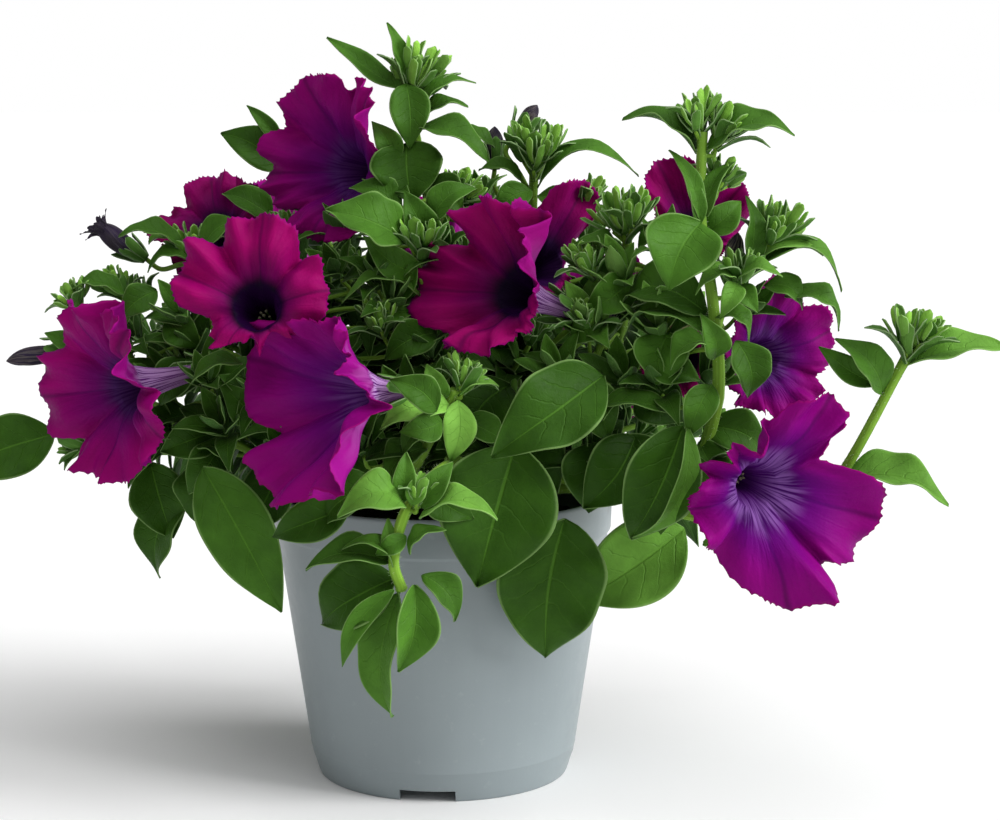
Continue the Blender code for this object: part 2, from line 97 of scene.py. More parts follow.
# %% Group helpers
def new_group(name, inputs, outputs):
    """A shader node group with float sockets; inputs maps names to defaults."""
    group = bpy.data.node_groups.new(name, "ShaderNodeTree")
    for socket_name, default in inputs.items():
        kind = "NodeSocketVector" if default == "VECTOR" else "NodeSocketFloat"
        socket = group.interface.new_socket(name=socket_name, in_out="INPUT", socket_type=kind)
        if default != "VECTOR":
            socket.default_value = default
    for socket_name in outputs:
        group.interface.new_socket(name=socket_name, in_out="OUTPUT", socket_type="NodeSocketFloat")
    source = group.nodes.new("NodeGroupInput")
    target = group.nodes.new("NodeGroupOutput")
    return group, source.outputs, target.inputs


def wire(tree, value, socket):
    """Link a socket, or set a plain number."""
    if isinstance(value, bpy.types.NodeSocket):
        tree.links.new(value, socket)
    else:
        socket.default_value = value


def maths(tree, operation, first, second=0.0, third=0.0, clamp=False):
    """One Math node, as a call."""
    node = tree.nodes.new("ShaderNodeMath")
    node.operation = operation
    node.use_clamp = clamp
    for value, socket in zip((first, second, third), node.inputs):
        wire(tree, value, socket)
    return node.outputs[0]


def product(tree, first, second, clamp=False):
    return maths(tree, "MULTIPLY", first, second, clamp=clamp)


def step_between(tree, value, low, high):
    """0 below low, 1 above high, smooth between; low may be above high to turn it round."""
    node = tree.nodes.new("ShaderNodeMapRange")
    node.interpolation_type = "SMOOTHSTEP"
    wire(tree, value, node.inputs["Value"])
    if low <= high:
        limits = (low, high, 0.0, 1.0)
    else:
        limits = (high, low, 1.0, 0.0)
    for socket_name, limit in zip(("From Min", "From Max", "To Min", "To Max"), limits):
        node.inputs[socket_name].default_value = limit
    return node.outputs["Result"]


def noise_value(tree, vector, scale, detail=3.0, roughness=0.55):
    node = tree.nodes.new("ShaderNodeTexNoise")
    tree.links.new(vector, node.inputs["Vector"])
    wire(tree, scale, node.inputs["Scale"])
    node.inputs["Detail"].default_value = detail
    node.inputs["Roughness"].default_value = roughness
    return node.outputs["Fac"]


def combine(tree, x, y):
    node = tree.nodes.new("ShaderNodeCombineXYZ")
    for value, socket in zip((x, y), node.inputs):
        wire(tree, value, socket)
    return node.outputs[0]


print("helpers:", [f.__name__ for f in (new_group, wire, maths, product, step_between, noise_value,
                                        combine)])

# %% [markdown]
# The mottle is plain noise in object space, so it runs on over neighbouring pieces without a
# seam. It has a coarse and a fine part: patches a few millimetres wide, and the grain of cells.

# %% Mottle group
def build_mottle_group():
    group, given, out = new_group("soft_mottle", {"Vector": "VECTOR", "Scale": 200.0, "Contrast": 1.0},
                                  ["Patches", "Grain"])
    coarse = noise_value(group, given["Vector"], given["Scale"], 2.0)
    fine = noise_value(group, given["Vector"], product(group, given["Scale"], 7.0), 4.0, 0.65)
    for value, name in ((coarse, "Patches"), (fine, "Grain")):
        centred = maths(group, "SUBTRACT", value, 0.5)
        spread = product(group, centred, given["Contrast"])
        group.links.new(maths(group, "ADD", spread, 0.5, clamp=True), out[name])
    return group


MOTTLE = build_mottle_group()
print("mottle group:", len(MOTTLE.nodes), "nodes")

# %% [markdown]
# Leaf veins need a leaf's own directions. Each blade carries a UV map: u goes across it, 0.5 on
# the midrib, and v goes from the stalk to the tip. The side veins are lines of equal
# v * pairs - slant * |across|, so they leave the midrib in pairs and sweep towards the tip. A
# little noise makes them wander, and they fade out towards the margin and the tip. The margin
# mask is 1 in a thin band along both edges, where the hairs catch the light.

# %% Leaf vein and margin group
def build_leaf_group():
    group, given, out = new_group("leaf_pattern", {"U": 0.5, "V": 0.5, "Pairs": 6.0, "Margin": 0.1},
                                  ["Midrib", "Side veins", "Margin"])
    across = product(group, maths(group, "ABSOLUTE", maths(group, "SUBTRACT", given["U"], 0.5)), 2.0)
    wander = noise_value(group, combine(group, given["U"], given["V"]), 3.0)
    sweep = maths(group, "MULTIPLY_ADD", maths(group, "POWER", across, 1.2), 1.5, wander)
    phase = maths(group, "SUBTRACT", product(group, given["V"], given["Pairs"]), sweep)
    ridge = maths(group, "PINGPONG", phase, 0.5)
    fade = step_between(group, across, 1.0, 0.55)
    fade = product(group, fade, step_between(group, given["V"], 0.85, 0.55))
    veins = product(group, step_between(group, ridge, 0.07, 0.0), fade)
    narrowing = maths(group, "MULTIPLY_ADD", given["V"], -0.035, 0.06)
    rib = maths(group, "DIVIDE", across, narrowing)
    group.links.new(step_between(group, rib, 1.0, 0.3), out["Midrib"])
    group.links.new(veins, out["Side veins"])
    edge = maths(group, "DIVIDE", maths(group, "SUBTRACT", 1.0, across), given["Margin"])
    group.links.new(step_between(group, edge, 1.0, 0.2), out["Margin"])
    return group


LEAF_PATTERN = build_leaf_group()
print("leaf group:", len(LEAF_PATTERN.nodes), "nodes")

# %% [markdown]
# A petal's veins fan out from the throat. Its UV map has u round the funnel, with the middle
# of a lobe at each fifth, and v from the tube's foot to the ruffled edge. Noise that is
# stretched along v gives streaks, and the distance to the nearest fifth gives the dark
# vein down the middle of each lobe.

# %% Petal vein group
def build_petal_group():
    group, given, out = new_group("petal_pattern", {"U": 0.0, "V": 0.0, "Streaks": 60.0},
                                  ["Streaks", "Midvein", "Web"])
    fifth = product(group, given["U"], 5.0)
    lobe = product(group, maths(group, "PINGPONG", fifth, 0.5), 2.0)
    wander = noise_value(group, combine(group, product(group, given["U"], 9.0), given["V"]), 3.0)
    shifted = maths(group, "MULTIPLY_ADD", wander, 0.02, given["U"])
    across = product(group, shifted, given["Streaks"])
    streaks = noise_value(group, combine(group, across, product(group, given["V"], 2.5)), 1.0, 2.0)
    web = noise_value(group, combine(group, product(group, given["U"], 90.0),
                                     product(group, given["V"], 22.0)), 1.6, 3.0)
    group.links.new(step_between(group, streaks, 0.42, 0.62), out["Streaks"])
    group.links.new(step_between(group, lobe, 0.07, 0.0), out["Midvein"])
    group.links.new(web, out["Web"])
    return group


PETAL_PATTERN = build_petal_group()
print("shader groups:", [g.name for g in (MOTTLE, LEAF_PATTERN, PETAL_PATTERN)])

# %% [markdown]
# ## Materials
# Each material starts from the same few nodes: a Principled shader, the UV map split into its
# two numbers, object coordinates for noise, and a Bump node. This helper makes them, and mixing
# two colours by a mask becomes one call, which keeps the recipes below short.

# %% Material helpers
class Finish:
    """A material under construction."""

    def __init__(self, name, roughness, view_colour):
        self.material = bpy.data.materials.new(name)
        self.material.use_nodes = True
        self.material.diffuse_color = (*view_colour, 1.0)
        self.tree = self.material.node_tree
        self.shader = self.tree.nodes["Principled BSDF"]
        self.shader.inputs["Roughness"].default_value = roughness
        split = self.tree.nodes.new("ShaderNodeSeparateXYZ")
        uv = self.tree.nodes.new("ShaderNodeUVMap")
        self.tree.links.new(uv.outputs["UV"], split.inputs[0])
        self.u, self.v = split.outputs[0], split.outputs[1]
        self.place = self.tree.nodes.new("ShaderNodeTexCoord").outputs["Object"]

    def group(self, group, **values):
        node = self.tree.nodes.new("ShaderNodeGroup")
        node.node_tree = group
        for socket_name, value in values.items():
            wire(self.tree, value, node.inputs[socket_name.replace("_", " ")])
        return node.outputs

    def mottle(self, scale, contrast):
        return self.group(MOTTLE, Vector=self.place, Scale=scale, Contrast=contrast)

    def attribute(self, name):
        node = self.tree.nodes.new("ShaderNodeAttribute")
        node.attribute_name = name
        return node.outputs["Fac"]

    def blend(self, mask, first, second):
        """Colour first where the mask is 0 and second where it is 1."""
        node = self.tree.nodes.new("ShaderNodeMix")
        node.data_type = "RGBA"
        wire(self.tree, mask, node.inputs["Factor"])
        for value, socket in ((first, node.inputs["A"]), (second, node.inputs["B"])):
            colour = value if isinstance(value, bpy.types.NodeSocket) else (*value, 1.0)
            wire(self.tree, colour, socket)
        return node.outputs["Result"]

    def bump(self, height, strength, distance):
        node = self.tree.nodes.new("ShaderNodeBump")
        node.inputs["Strength"].default_value = strength
        node.inputs["Distance"].default_value = distance
        wire(self.tree, height, node.inputs["Height"])
        self.tree.links.new(node.outputs["Normal"], self.shader.inputs["Normal"])

    def set(self, **values):
        for socket_name, value in values.items():
            wire(self.tree, value, self.shader.inputs[socket_name.replace("_", " ")])
        return self.material


print("a finish can:", [name for name in vars(Finish) if not name.startswith("_")])

# %% [markdown]
# A petunia leaf is soft and hairy: deep green on top with pale veins sunk into it, greyer below,
# yellow-green while young, and with a pale line of hairs round its edge. One material per side
# does for all of them, because each blade carries a number, "youth", from 0 for an old dark
# leaf to 1 for the freshest one. Sheen gives the grey bloom of the hairs at glancing angles.

# %% Leaf materials
def leaf_finish(name, old, middle, young, vein, margin, bump_strength, pairs=6.0, margin_width=0.07,
                margin_weight=0.4):
    finish = Finish(name, 0.5, middle)
    tree = finish.tree
    youth = finish.attribute("youth")
    pattern = finish.group(LEAF_PATTERN, U=finish.u, V=finish.v, Pairs=pairs, Margin=margin_width)
    mottle = finish.mottle(110.0, 1.6)
    first_half = product(tree, youth, 2.0, clamp=True)
    second_half = maths(tree, "MULTIPLY_ADD", youth, 2.0, -1.0, clamp=True)
    colour = finish.blend(second_half, finish.blend(first_half, old, middle), young)
    darker = finish.blend(0.45, colour, (0.0, 0.008, 0.0))
    colour = finish.blend(mottle["Patches"], darker, colour)
    colour = finish.blend(product(tree, mottle["Grain"], 0.28), colour, darker)
    colour = finish.blend(product(tree, pattern["Side veins"], 0.08), colour, vein)
    colour = finish.blend(product(tree, pattern["Midrib"], 0.3), colour, vein)
    colour = finish.blend(product(tree, pattern["Margin"], margin_weight), colour, margin)
    sunk = maths(tree, "MAXIMUM", pattern["Midrib"], product(tree, pattern["Side veins"], 0.7))
    height = maths(tree, "SUBTRACT", product(tree, mottle["Grain"], 0.5), sunk)
    finish.bump(height, bump_strength, 0.0006)
    rough = maths(tree, "MULTIPLY_ADD", mottle["Grain"], 0.3, 0.34)
    return finish.set(Base_Color=colour, Roughness=rough, Sheen_Weight=0.06, Sheen_Roughness=0.4,
                      Sheen_Tint=(0.65, 1.0, 0.5, 1.0), Specular_IOR_Level=0.09)


LEAF_TOP = leaf_finish("leaf_upper_side", (0.015, 0.054, 0.001), (0.074, 0.205, 0.019), (0.31, 0.68, 0.1),
                       (0.12, 0.3, 0.03), (0.3, 0.48, 0.16), 0.55)
LEAF_UNDER = leaf_finish("leaf_under_side", (0.03, 0.085, 0.014), (0.09, 0.21, 0.045), (0.26, 0.5, 0.1),
                         (0.2, 0.38, 0.1), (0.36, 0.52, 0.24), 0.5)
SEPAL = leaf_finish("sepal_and_shoot_leaf", (0.024, 0.078, 0.009), (0.1, 0.25, 0.04), (0.32, 0.66, 0.08),
                    (0.2, 0.4, 0.08), (0.5, 0.66, 0.36), 0.4, pairs=3.0, margin_width=0.2,
                    margin_weight=0.36)
LEAF_SIDES = (LEAF_TOP, LEAF_UNDER)
print("leaf materials:", LEAF_TOP.name, LEAF_UNDER.name, SEPAL.name)

# %% [markdown]
# The stems are pale yellow-green, ribbed lengthwise and thickly hairy. The ribs are streaks in
# the UV map's long direction, a darker green runs up the shaded ribs, and the hairs are real
# geometry further down, so the material only adds a soft sheen.

# %% Stem material
def stem_finish():
    finish = Finish("stem_hairy_green", 0.55, (0.25, 0.42, 0.08))
    tree = finish.tree
    youth = finish.attribute("youth")
    mottle = finish.mottle(90.0, 1.5)
    ribs = noise_value(tree, combine(tree, product(tree, finish.u, 14.0),
                                     product(tree, finish.v, 1.5)), 1.0, 2.0)
    colour = finish.blend(youth, (0.07, 0.15, 0.01), (0.29, 0.55, 0.05))
    colour = finish.blend(step_between(tree, ribs, 0.35, 0.7), colour,
                          finish.blend(youth, (0.04, 0.1, 0.005), (0.17, 0.36, 0.02)))
    colour = finish.blend(product(tree, mottle["Patches"], 0.3), colour, (0.14, 0.26, 0.04))
    finish.bump(maths(tree, "ADD", ribs, product(tree, mottle["Grain"], 0.5)), 0.5, 0.0004)
    rough = maths(tree, "MULTIPLY_ADD", mottle["Grain"], 0.25, 0.42)
    return finish.set(Base_Color=colour, Roughness=rough, Sheen_Weight=0.12,
                      Sheen_Tint=(0.7, 1.0, 0.5, 1.0), Specular_IOR_Level=0.15)


def hair_finish():
    finish = Finish("stem_hairs", 0.5, (0.6, 0.75, 0.5))
    mottle = finish.mottle(300.0, 1.5)
    colour = finish.blend(mottle["Patches"], (0.42, 0.6, 0.28), (0.75, 0.88, 0.62))
    return finish.set(Base_Color=colour)


STEM = stem_finish()
HAIR = hair_finish()
print("stem materials:", STEM.name, HAIR.name)

# %% [markdown]
# The petals are velvety magenta-purple: almost black violet in the throat, deep wine red where
# a lobe turns away, brighter magenta near the edge and along the turned-back margins, with a
# blue-violet glow at glancing angles. Velvet could be faked with a texture, but Layer Weight
# mixed into the base colour and a violet sheen give it from every side. The outside of the tube
# is paler, with lilac stripes that fan out and fade. Light is painted in too: each bloom carries
# a glow number that mixes its magenta towards purple, lightens its throat and paints a violet
# sheen round it, so that a bloom in the light looks brighter than one in shade.

# %% Petal materials
def petal_finish(name, outside):
    finish = Finish(name, 0.55, (0.2, 0.0, 0.12))
    tree = finish.tree
    # The blooms' "youth" attribute holds their glow: painted light, how brightly lit each bloom looks.
    painted_glow = finish.attribute("youth")
    pattern = finish.group(PETAL_PATTERN, U=finish.u, V=finish.v, Streaks=62.0)
    mottle = finish.mottle(38.0, 2.2)
    magenta = finish.blend(mottle["Patches"], (0.2, 0.0002, 0.074), (0.31, 0.0003, 0.108))
    # Painted light: the glow mixes the magenta towards purple on blooms that look lit.
    magenta = finish.blend(painted_glow, magenta, (0.22, 0.0003, 0.16))
    inner = finish.blend(0.6, magenta, (0.035, 0.0002, 0.05))
    colour = finish.blend(step_between(tree, finish.v, 0.46, 0.8), inner, magenta)
    colour = finish.blend(step_between(tree, finish.v, 0.975, 1.0), colour, (0.24, 0.0005, 0.12))
    colour = finish.blend(product(tree, pattern["Streaks"], 0.09), colour, (0.04, 0.0, 0.04))
    colour = finish.blend(product(tree, pattern["Midvein"], 0.5), colour, (0.03, 0.0, 0.03))
    if outside:
        stripes = step_between(tree, pattern["Streaks"], 0.35, 0.6)
        foot = step_between(tree, finish.v, 0.3, 0.12)
        pale = finish.blend(stripes, (0.46, 0.28, 0.56), (0.06, 0.008, 0.12))
        pale = finish.blend(product(tree, foot, 0.5), pale, (0.08, 0.06, 0.08))
        fade = product(tree, step_between(tree, finish.v, 0.52, 0.34), 0.85)
        colour = finish.blend(0.45, colour, (0.33, 0.006, 0.26))
        veins = product(tree, pattern["Streaks"], step_between(tree, finish.v, 0.95, 0.5))
        colour = finish.blend(product(tree, veins, 0.3), colour, (0.5, 0.16, 0.5))
        colour = finish.blend(fade, colour, pale)
    else:
        lilac = finish.blend(pattern["Streaks"], (0.24, 0.11, 0.36), (0.02, 0.0, 0.06))
        # Painted light: the glow lightens the near-black throat towards the lilac veins.
        dark = finish.blend(product(tree, painted_glow, 0.45), (0.004, 0.0002, 0.009), lilac)
        near = step_between(tree, finish.v, 0.22, 0.4)
        colour = finish.blend(step_between(tree, finish.v, 0.54, 0.38), colour, dark)
        fan = product(tree, near, step_between(tree, finish.v, 0.6, 0.44))
        # Painted sheen: a violet cast over the throat and inner limb, as strong as the glow.
        violet = product(tree, step_between(tree, finish.v, 0.94, 0.5), painted_glow)
        colour = finish.blend(product(tree, violet, 0.7), colour, (0.09, 0.0006, 0.17))
        # The throat's own lilac veins, faded in by the painted glow from 0.6 up, so only the brightest
        # blooms show them.
        colour = finish.blend(product(tree, fan, step_between(tree, painted_glow, 0.6, 1.2)), colour, lilac)
    weight = tree.nodes.new("ShaderNodeLayerWeight")
    weight.inputs["Blend"].default_value = 0.3
    glance = product(tree, weight.outputs["Facing"], 0.3)
    colour = finish.blend(glance, colour, (0.06, 0.0004, 0.12))
    height = maths(tree, "ADD", product(tree, pattern["Streaks"], -0.8),
                   maths(tree, "ADD", pattern["Web"], product(tree, mottle["Grain"], 0.4)))
    finish.bump(height, 0.35, 0.0005)
    rough = maths(tree, "MULTIPLY_ADD", pattern["Web"], 0.3, 0.42)
    return finish.set(Base_Color=colour, Roughness=rough, Sheen_Weight=0.03, Sheen_Roughness=0.45,
                      Sheen_Tint=(0.7, 0.03, 1.0, 1.0), Specular_IOR_Level=0.05)


PETAL_IN = petal_finish("petal_inner_velvet", False)
PETAL_OUT = petal_finish("petal_outer_striped", True)


def bud_finish():
    finish = Finish("bud_dark_violet", 0.6, (0.03, 0.01, 0.05))
    tree = finish.tree
    pattern = finish.group(PETAL_PATTERN, U=finish.u, V=finish.v, Streaks=34.0)
    mottle = finish.mottle(160.0, 1.6)
    stripe = product(tree, pattern["Streaks"], finish.attribute("youth"))
    colour = finish.blend(mottle["Patches"], (0.004, 0.002, 0.01), (0.022, 0.009, 0.045))
    colour = finish.blend(stripe, colour, (0.25, 0.22, 0.18))
    finish.bump(maths(tree, "ADD", pattern["Streaks"], mottle["Grain"]), 0.5, 0.0005)
    rough = maths(tree, "MULTIPLY_ADD", mottle["Grain"], 0.3, 0.4)
    return finish.set(Base_Color=colour, Roughness=rough, Sheen_Weight=0.06, Specular_IOR_Level=0.2)


def anther_finish():
    finish = Finish("anther_pollen", 0.7, (0.5, 0.5, 0.25))
    mottle = finish.mottle(900.0, 1.8)
    colour = finish.blend(mottle["Patches"], (0.1, 0.1, 0.05), (0.3, 0.27, 0.18))
    finish.bump(mottle["Grain"], 0.6, 0.0002)
    return finish.set(Base_Color=colour)


BUD = bud_finish()
ANTHER = anther_finish()
print("flower materials:", PETAL_IN.name, PETAL_OUT.name, BUD.name, ANTHER.name)

# %% [markdown]
# The pot is plain moulded plastic in a cool grey, satin, with faint vertical flow marks from
# the mould and a slight clouding. Compost is nearly black, crumbly and matt, with pale bits.

# %% Pot and compost materials
def pot_finish():
    finish = Finish("pot_grey_plastic", 0.42, (0.42, 0.47, 0.51))
    tree = finish.tree
    mottle = finish.mottle(30.0, 1.2)
    flow = noise_value(tree, combine(tree, product(tree, finish.u, 60.0),
                                     product(tree, finish.v, 1.2)), 1.0, 3.0)
    colour = finish.blend(mottle["Patches"], (0.215, 0.255, 0.268), (0.25, 0.293, 0.306))
    colour = finish.blend(product(tree, flow, 0.16), colour, (0.17, 0.2, 0.212))
    rub = step_between(tree, mottle["Grain"], 0.62, 0.8)
    colour = finish.blend(product(tree, rub, 0.12), colour, (0.44, 0.48, 0.5))
    finish.bump(maths(tree, "ADD", product(tree, flow, 0.5), mottle["Grain"]), 0.12, 0.0003)
    rough = maths(tree, "MULTIPLY_ADD", mottle["Grain"], 0.22, 0.3)
    return finish.set(Base_Color=colour, Roughness=rough, Specular_IOR_Level=0.5)


def compost_finish():
    finish = Finish("compost_crumb", 0.95, (0.05, 0.032, 0.02))
    tree = finish.tree
    mottle = finish.mottle(260.0, 2.0)
    colour = finish.blend(mottle["Patches"], (0.008, 0.005, 0.003), (0.06, 0.038, 0.022))
    fibre = step_between(tree, mottle["Grain"], 0.66, 0.76)
    colour = finish.blend(product(tree, fibre, 0.6), colour, (0.2, 0.15, 0.09))
    finish.bump(maths(tree, "ADD", mottle["Patches"], mottle["Grain"]), 0.9, 0.0012)
    rough = maths(tree, "MULTIPLY_ADD", mottle["Grain"], 0.2, 0.78)
    return finish.set(Base_Color=colour, Roughness=rough)


POT = pot_finish()
COMPOST = compost_finish()
print("pot materials:", POT.name, COMPOST.name)

# %% [markdown]
# ## A sheet builder
# Leaves, sepals and petals are all thin sheets laid out on a grid. One could add a plane for
# each and bend it with modifiers, but hundreds of blades are quicker as one mesh per region.
# The builder below collects grids of points with their UVs and a "youth" number, which on a
# bloom holds its painted glow, makes one object of them, and gives it thickness with a Solidify
# modifier. Solidify also switches the material for the lower face, so both sides of a blade get
# their own finish.

# %% Sheet builder
def new_object(name, data):
    """An object in the scene's own collection."""
    made = bpy.data.objects.new(name, data)
    bpy.context.scene.collection.objects.link(made)
    return made


class Sheets:
    """Collects grids of points and makes one piece of them."""

    def __init__(self):
        self.points = []
        self.faces = []
        self.uvs = []
        self.youth = []

    def grid(self, rows, youth, closed=False, lengthwise=None):
        """rows of points, each row across the sheet; closed joins the last column to the first."""
        first = len(self.points)
        columns = len(rows[0])
        for row in rows:
            self.points.extend(row)
            self.youth.extend([youth] * columns)
        spans = columns if closed else columns - 1
        along = lengthwise or [i / (len(rows) - 1) for i in range(len(rows))]
        for r in range(len(rows) - 1):
            for c in range(spans):
                n = (c + 1) % columns
                a, b = first + r * columns, first + (r + 1) * columns
                self.faces.append((a + c, a + n, b + n, b + c))
                left, right = c / spans, (c + 1) / spans
                self.uvs.extend([(left, along[r]), (right, along[r]),
                                 (right, along[r + 1]), (left, along[r + 1])])

    def piece(self, name, materials, thickness, slot, stands_for=()):
        """The object, riding on the root body; thickness in mm, second material on the far side."""
        mesh = bpy.data.meshes.new(name)
        mesh.from_pydata([tuple(p) for p in self.points], [], self.faces)
        layer = mesh.uv_layers.new(name="UVMap")
        layer.data.foreach_set("uv", [v for pair in self.uvs for v in pair])
        youth = mesh.attributes.new("youth", "FLOAT", "POINT")
        youth.data.foreach_set("value", self.youth)
        mesh.polygons.foreach_set("use_smooth", [True] * len(mesh.polygons))
        for material in materials:
            mesh.materials.append(material)
        piece = new_object(name, mesh)
        if thickness:
            shell = piece.modifiers.new("thickness", "SOLIDIFY")
            shell.thickness = thickness * MM
            shell.offset = -1.0
            shell.material_offset = 1 if len(materials) > 1 else 0
        return settle(piece, stands_for)


def settle(piece, stands_for=()):
    """Every piece rides on the root body and may stand for CAD nodes."""
    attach(piece, "root")
    if stands_for:
        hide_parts(*stands_for)
    return piece


print("sheets can:", [name for name in vars(Sheets) if not name.startswith("_")])

# %% [markdown]
# ## One leaf
# A petunia leaf is oval with a pointed tip, folded a little along the midrib, arched from stalk
# to tip, and wavy at the edge. It is made row by row along a curved midrib: each row is as wide
# as the outline there, its ends are lifted by the fold, and a small wave runs along the edge.
# Sepals and shoot leaves use the same code with an outline that is widest near a round tip.

# %% Leaf function
LEAF_ROWS = 14
LEAF_COLUMNS = 8
FOOT_HALF_WIDTH = 0.35 * MM
TIP_HALF_WIDTH = 0.12 * MM


def oval(t):
    return (t ** 0.74) * ((1.0 - t) ** 1.02) / 0.3047


def spoon(t):
    return (0.28 + 0.72 * t ** 1.2) * ((1.0 - t) ** 0.38) / 0.53


def leaf(sheets, base, tip, width, youth, face="F", arch=0.2, fold=0.42, outline=oval, wave=0.07,
         droop=0.0, rows=LEAF_ROWS, columns=LEAF_COLUMNS, seed=0, liveliness=0.05):
    """One blade between two places in metres; width in mm.

    arch lifts the middle along the face direction, droop bends the last part back down, fold
    lifts the margins, wave ripples them, and liveliness is how far the blade strays from a
    straight line, sideways and at its tip.
    """
    rng = random.Random(seed)
    along = tip - base
    length = along.length
    forward = along / length
    facing = FACES[face] if isinstance(face, str) else Vector(face)
    side = forward.cross(facing).normalized()
    normal = side.cross(forward).normalized()
    waves = rng.uniform(1.6, 2.6)
    phases = (rng.uniform(0, math.tau), rng.uniform(0, math.tau))
    bow = rng.uniform(-liveliness, liveliness) * length
    curl = rng.uniform(0.2, 1.6) * liveliness
    half_width = 0.5 * width * MM
    grid = []
    for r in range(rows + 1):
        t = r / rows
        half = max(half_width * outline(t), FOOT_HALF_WIDTH if t < 0.5 else TIP_HALF_WIDTH)
        rise = arch * 4.0 * t * (1.0 - t) - (droop + curl) * max(0.0, t - 0.6) ** 2 * 6.0
        spine = base + along * t + normal * (rise * length) + side * (bow * math.sin(math.pi * t))
        row = []
        for c in range(columns + 1):
            x = 2.0 * c / columns - 1.0
            ripple = wave * half_width * x * x * math.sin(
                math.tau * waves * t + phases[0 if x < 0 else 1])
            groove = -0.03 * half_width * math.exp(-(x / 0.12) ** 2)
            up = fold * half * (abs(x) ** 1.3) + ripple + groove
            row.append(spine + side * (half * x) + normal * up)
        grid.append(row)
    sheets.grid(grid, youth)


WIDEST = max(range(100), key=lambda percent: oval(percent / 100))
print("an oval leaf is widest at", WIDEST, "percent of its length")

# %% [markdown]
# ## The main leaves
# These are the blades that one sees first: the broad ones over the rim, the trailing shoot's
# leaves and the ones that end the plant left and right. Each stands for a leaf of the frame
# and is a piece of its own, so its fold, arch and age can be set one by one.

# %% Main leaves
MAIN_LEAVES = [
    ("leaf_far_left", (-148, 131, 40), (-188, 117, 40), 26, 0.22, "F", 0.1, 0.1),
    ("leaf_left_lower", (-99, 112, -6), (-112, 74.5, -4), 22, 0.2, "L", 0.1, 0.12),
    ("leaf_left_front", (-92, 118, -42), (-62.5, 61, -52), 26, 0.36, "F", 0.08, 0.18),
    ("leaf_hanging_long", (-17, 69, -101), (-23.5, 18.5, -99), 18, 0.52, "L", 0.06, 0.2),
    ("leaf_hanging_curled", (-11, 72, -106), (-17, 37, -110), 15, 0.5, (0.3, -1.0, 0.2), 0.12, 0.4),
    ("leaf_bright_left", (-14, 103, -107), (-40, 100, -116), 17, 0.62, (-0.1, -0.75, 0.7), 0.36, 0.12),
    ("leaf_bright_right", (-9, 98, -106), (21, 98, -112), 13, 0.72, (0.1, -0.45, 1.0), 0.26, 0.2),
    ("leaf_broad_front", (28, 127, -72), (13, 71, -80), 43, 0.2, (0.0, -1.0, 0.2), 0.07, 0.16),
    ("leaf_broad_upper", (61.5, 153.5, -74), (19, 123, -90), 29, 0.16, (0.1, -0.9, 0.5), 0.12, 0.2),
    ("leaf_broad_lower", (47, 98, -60), (40, 42, -62), 40, 0.19, (0.1, -1.0, 0.2), 0.07, 0.14),
    ("leaf_right_rim", (93, 94, -44), (52, 65, -48), 31, 0.68, (0.3, -1.0, 0.5), 0.1, 0.16),
    ("leaf_right_inner", (92, 134, -80), (72, 89, -77), 27, 0.12, "F", 0.1, 0.2),
    ("leaf_right_grey", (98, 212, -80), (86, 186.5, -90), 27, 0.5, (0.0, -0.9, 0.5), 0.12, 0.25),
    ("leaf_right_shoot_low", (151, 112, -86), (194.5, 106, -96), 19, 0.66, (0.0, -0.5, 1.0), 0.12, 0.25),
    ("leaf_right_shoot_tip", (177, 158, -96), (215, 165, -99), 15, 0.72, (0.0, -0.55, 1.0), 0.1, 0.25),
    ("leaf_top_right", (100, 238, -72), (132, 247, -78), 18, 0.42, (-0.2, -0.5, 1.0), 0.2, 0.2),
    ("leaf_top_left", (96, 238, -71), (69, 253, -66), 16, 0.4, (0.3, -0.4, 1.0), 0.16, 0.25),
    ("leaf_over_bloom", (-14, 205, -44), (-43.5, 217, -52), 21, 0.5, (-0.1, -0.8, 0.7), 0.2, 0.2),
    ("leaf_back_left", (-72, 150, 96), (-104, 112, 118), 28, 0.25, "B", 0.14, 0.2),
    ("leaf_back_middle", (-8, 138, 74), (-14, 80, 106), 32, 0.2, "B", 0.14, 0.2),
    ("leaf_back_right", (72, 132, 88), (98, 90, 112), 30, 0.25, "B", 0.14, 0.2),
]


def make_main_leaves():
    for i, (name, base, tip, width, youth, face, arch, fold) in enumerate(MAIN_LEAVES):
        sheets = Sheets()
        leaf(sheets, at(*base), at(*tip), width, youth, face, arch, 1.9 * fold, rows=26, columns=14,
             seed=400 + i, wave=0.13, liveliness=0.07)
        slot = "young_leaf" if "bright" in name or "shoot" in name else "leaf"
        sheets.piece(name + "_blade", LEAF_SIDES, 0.45, slot, (name,))
    print("main leaves:", len(MAIN_LEAVES))


make_main_leaves()
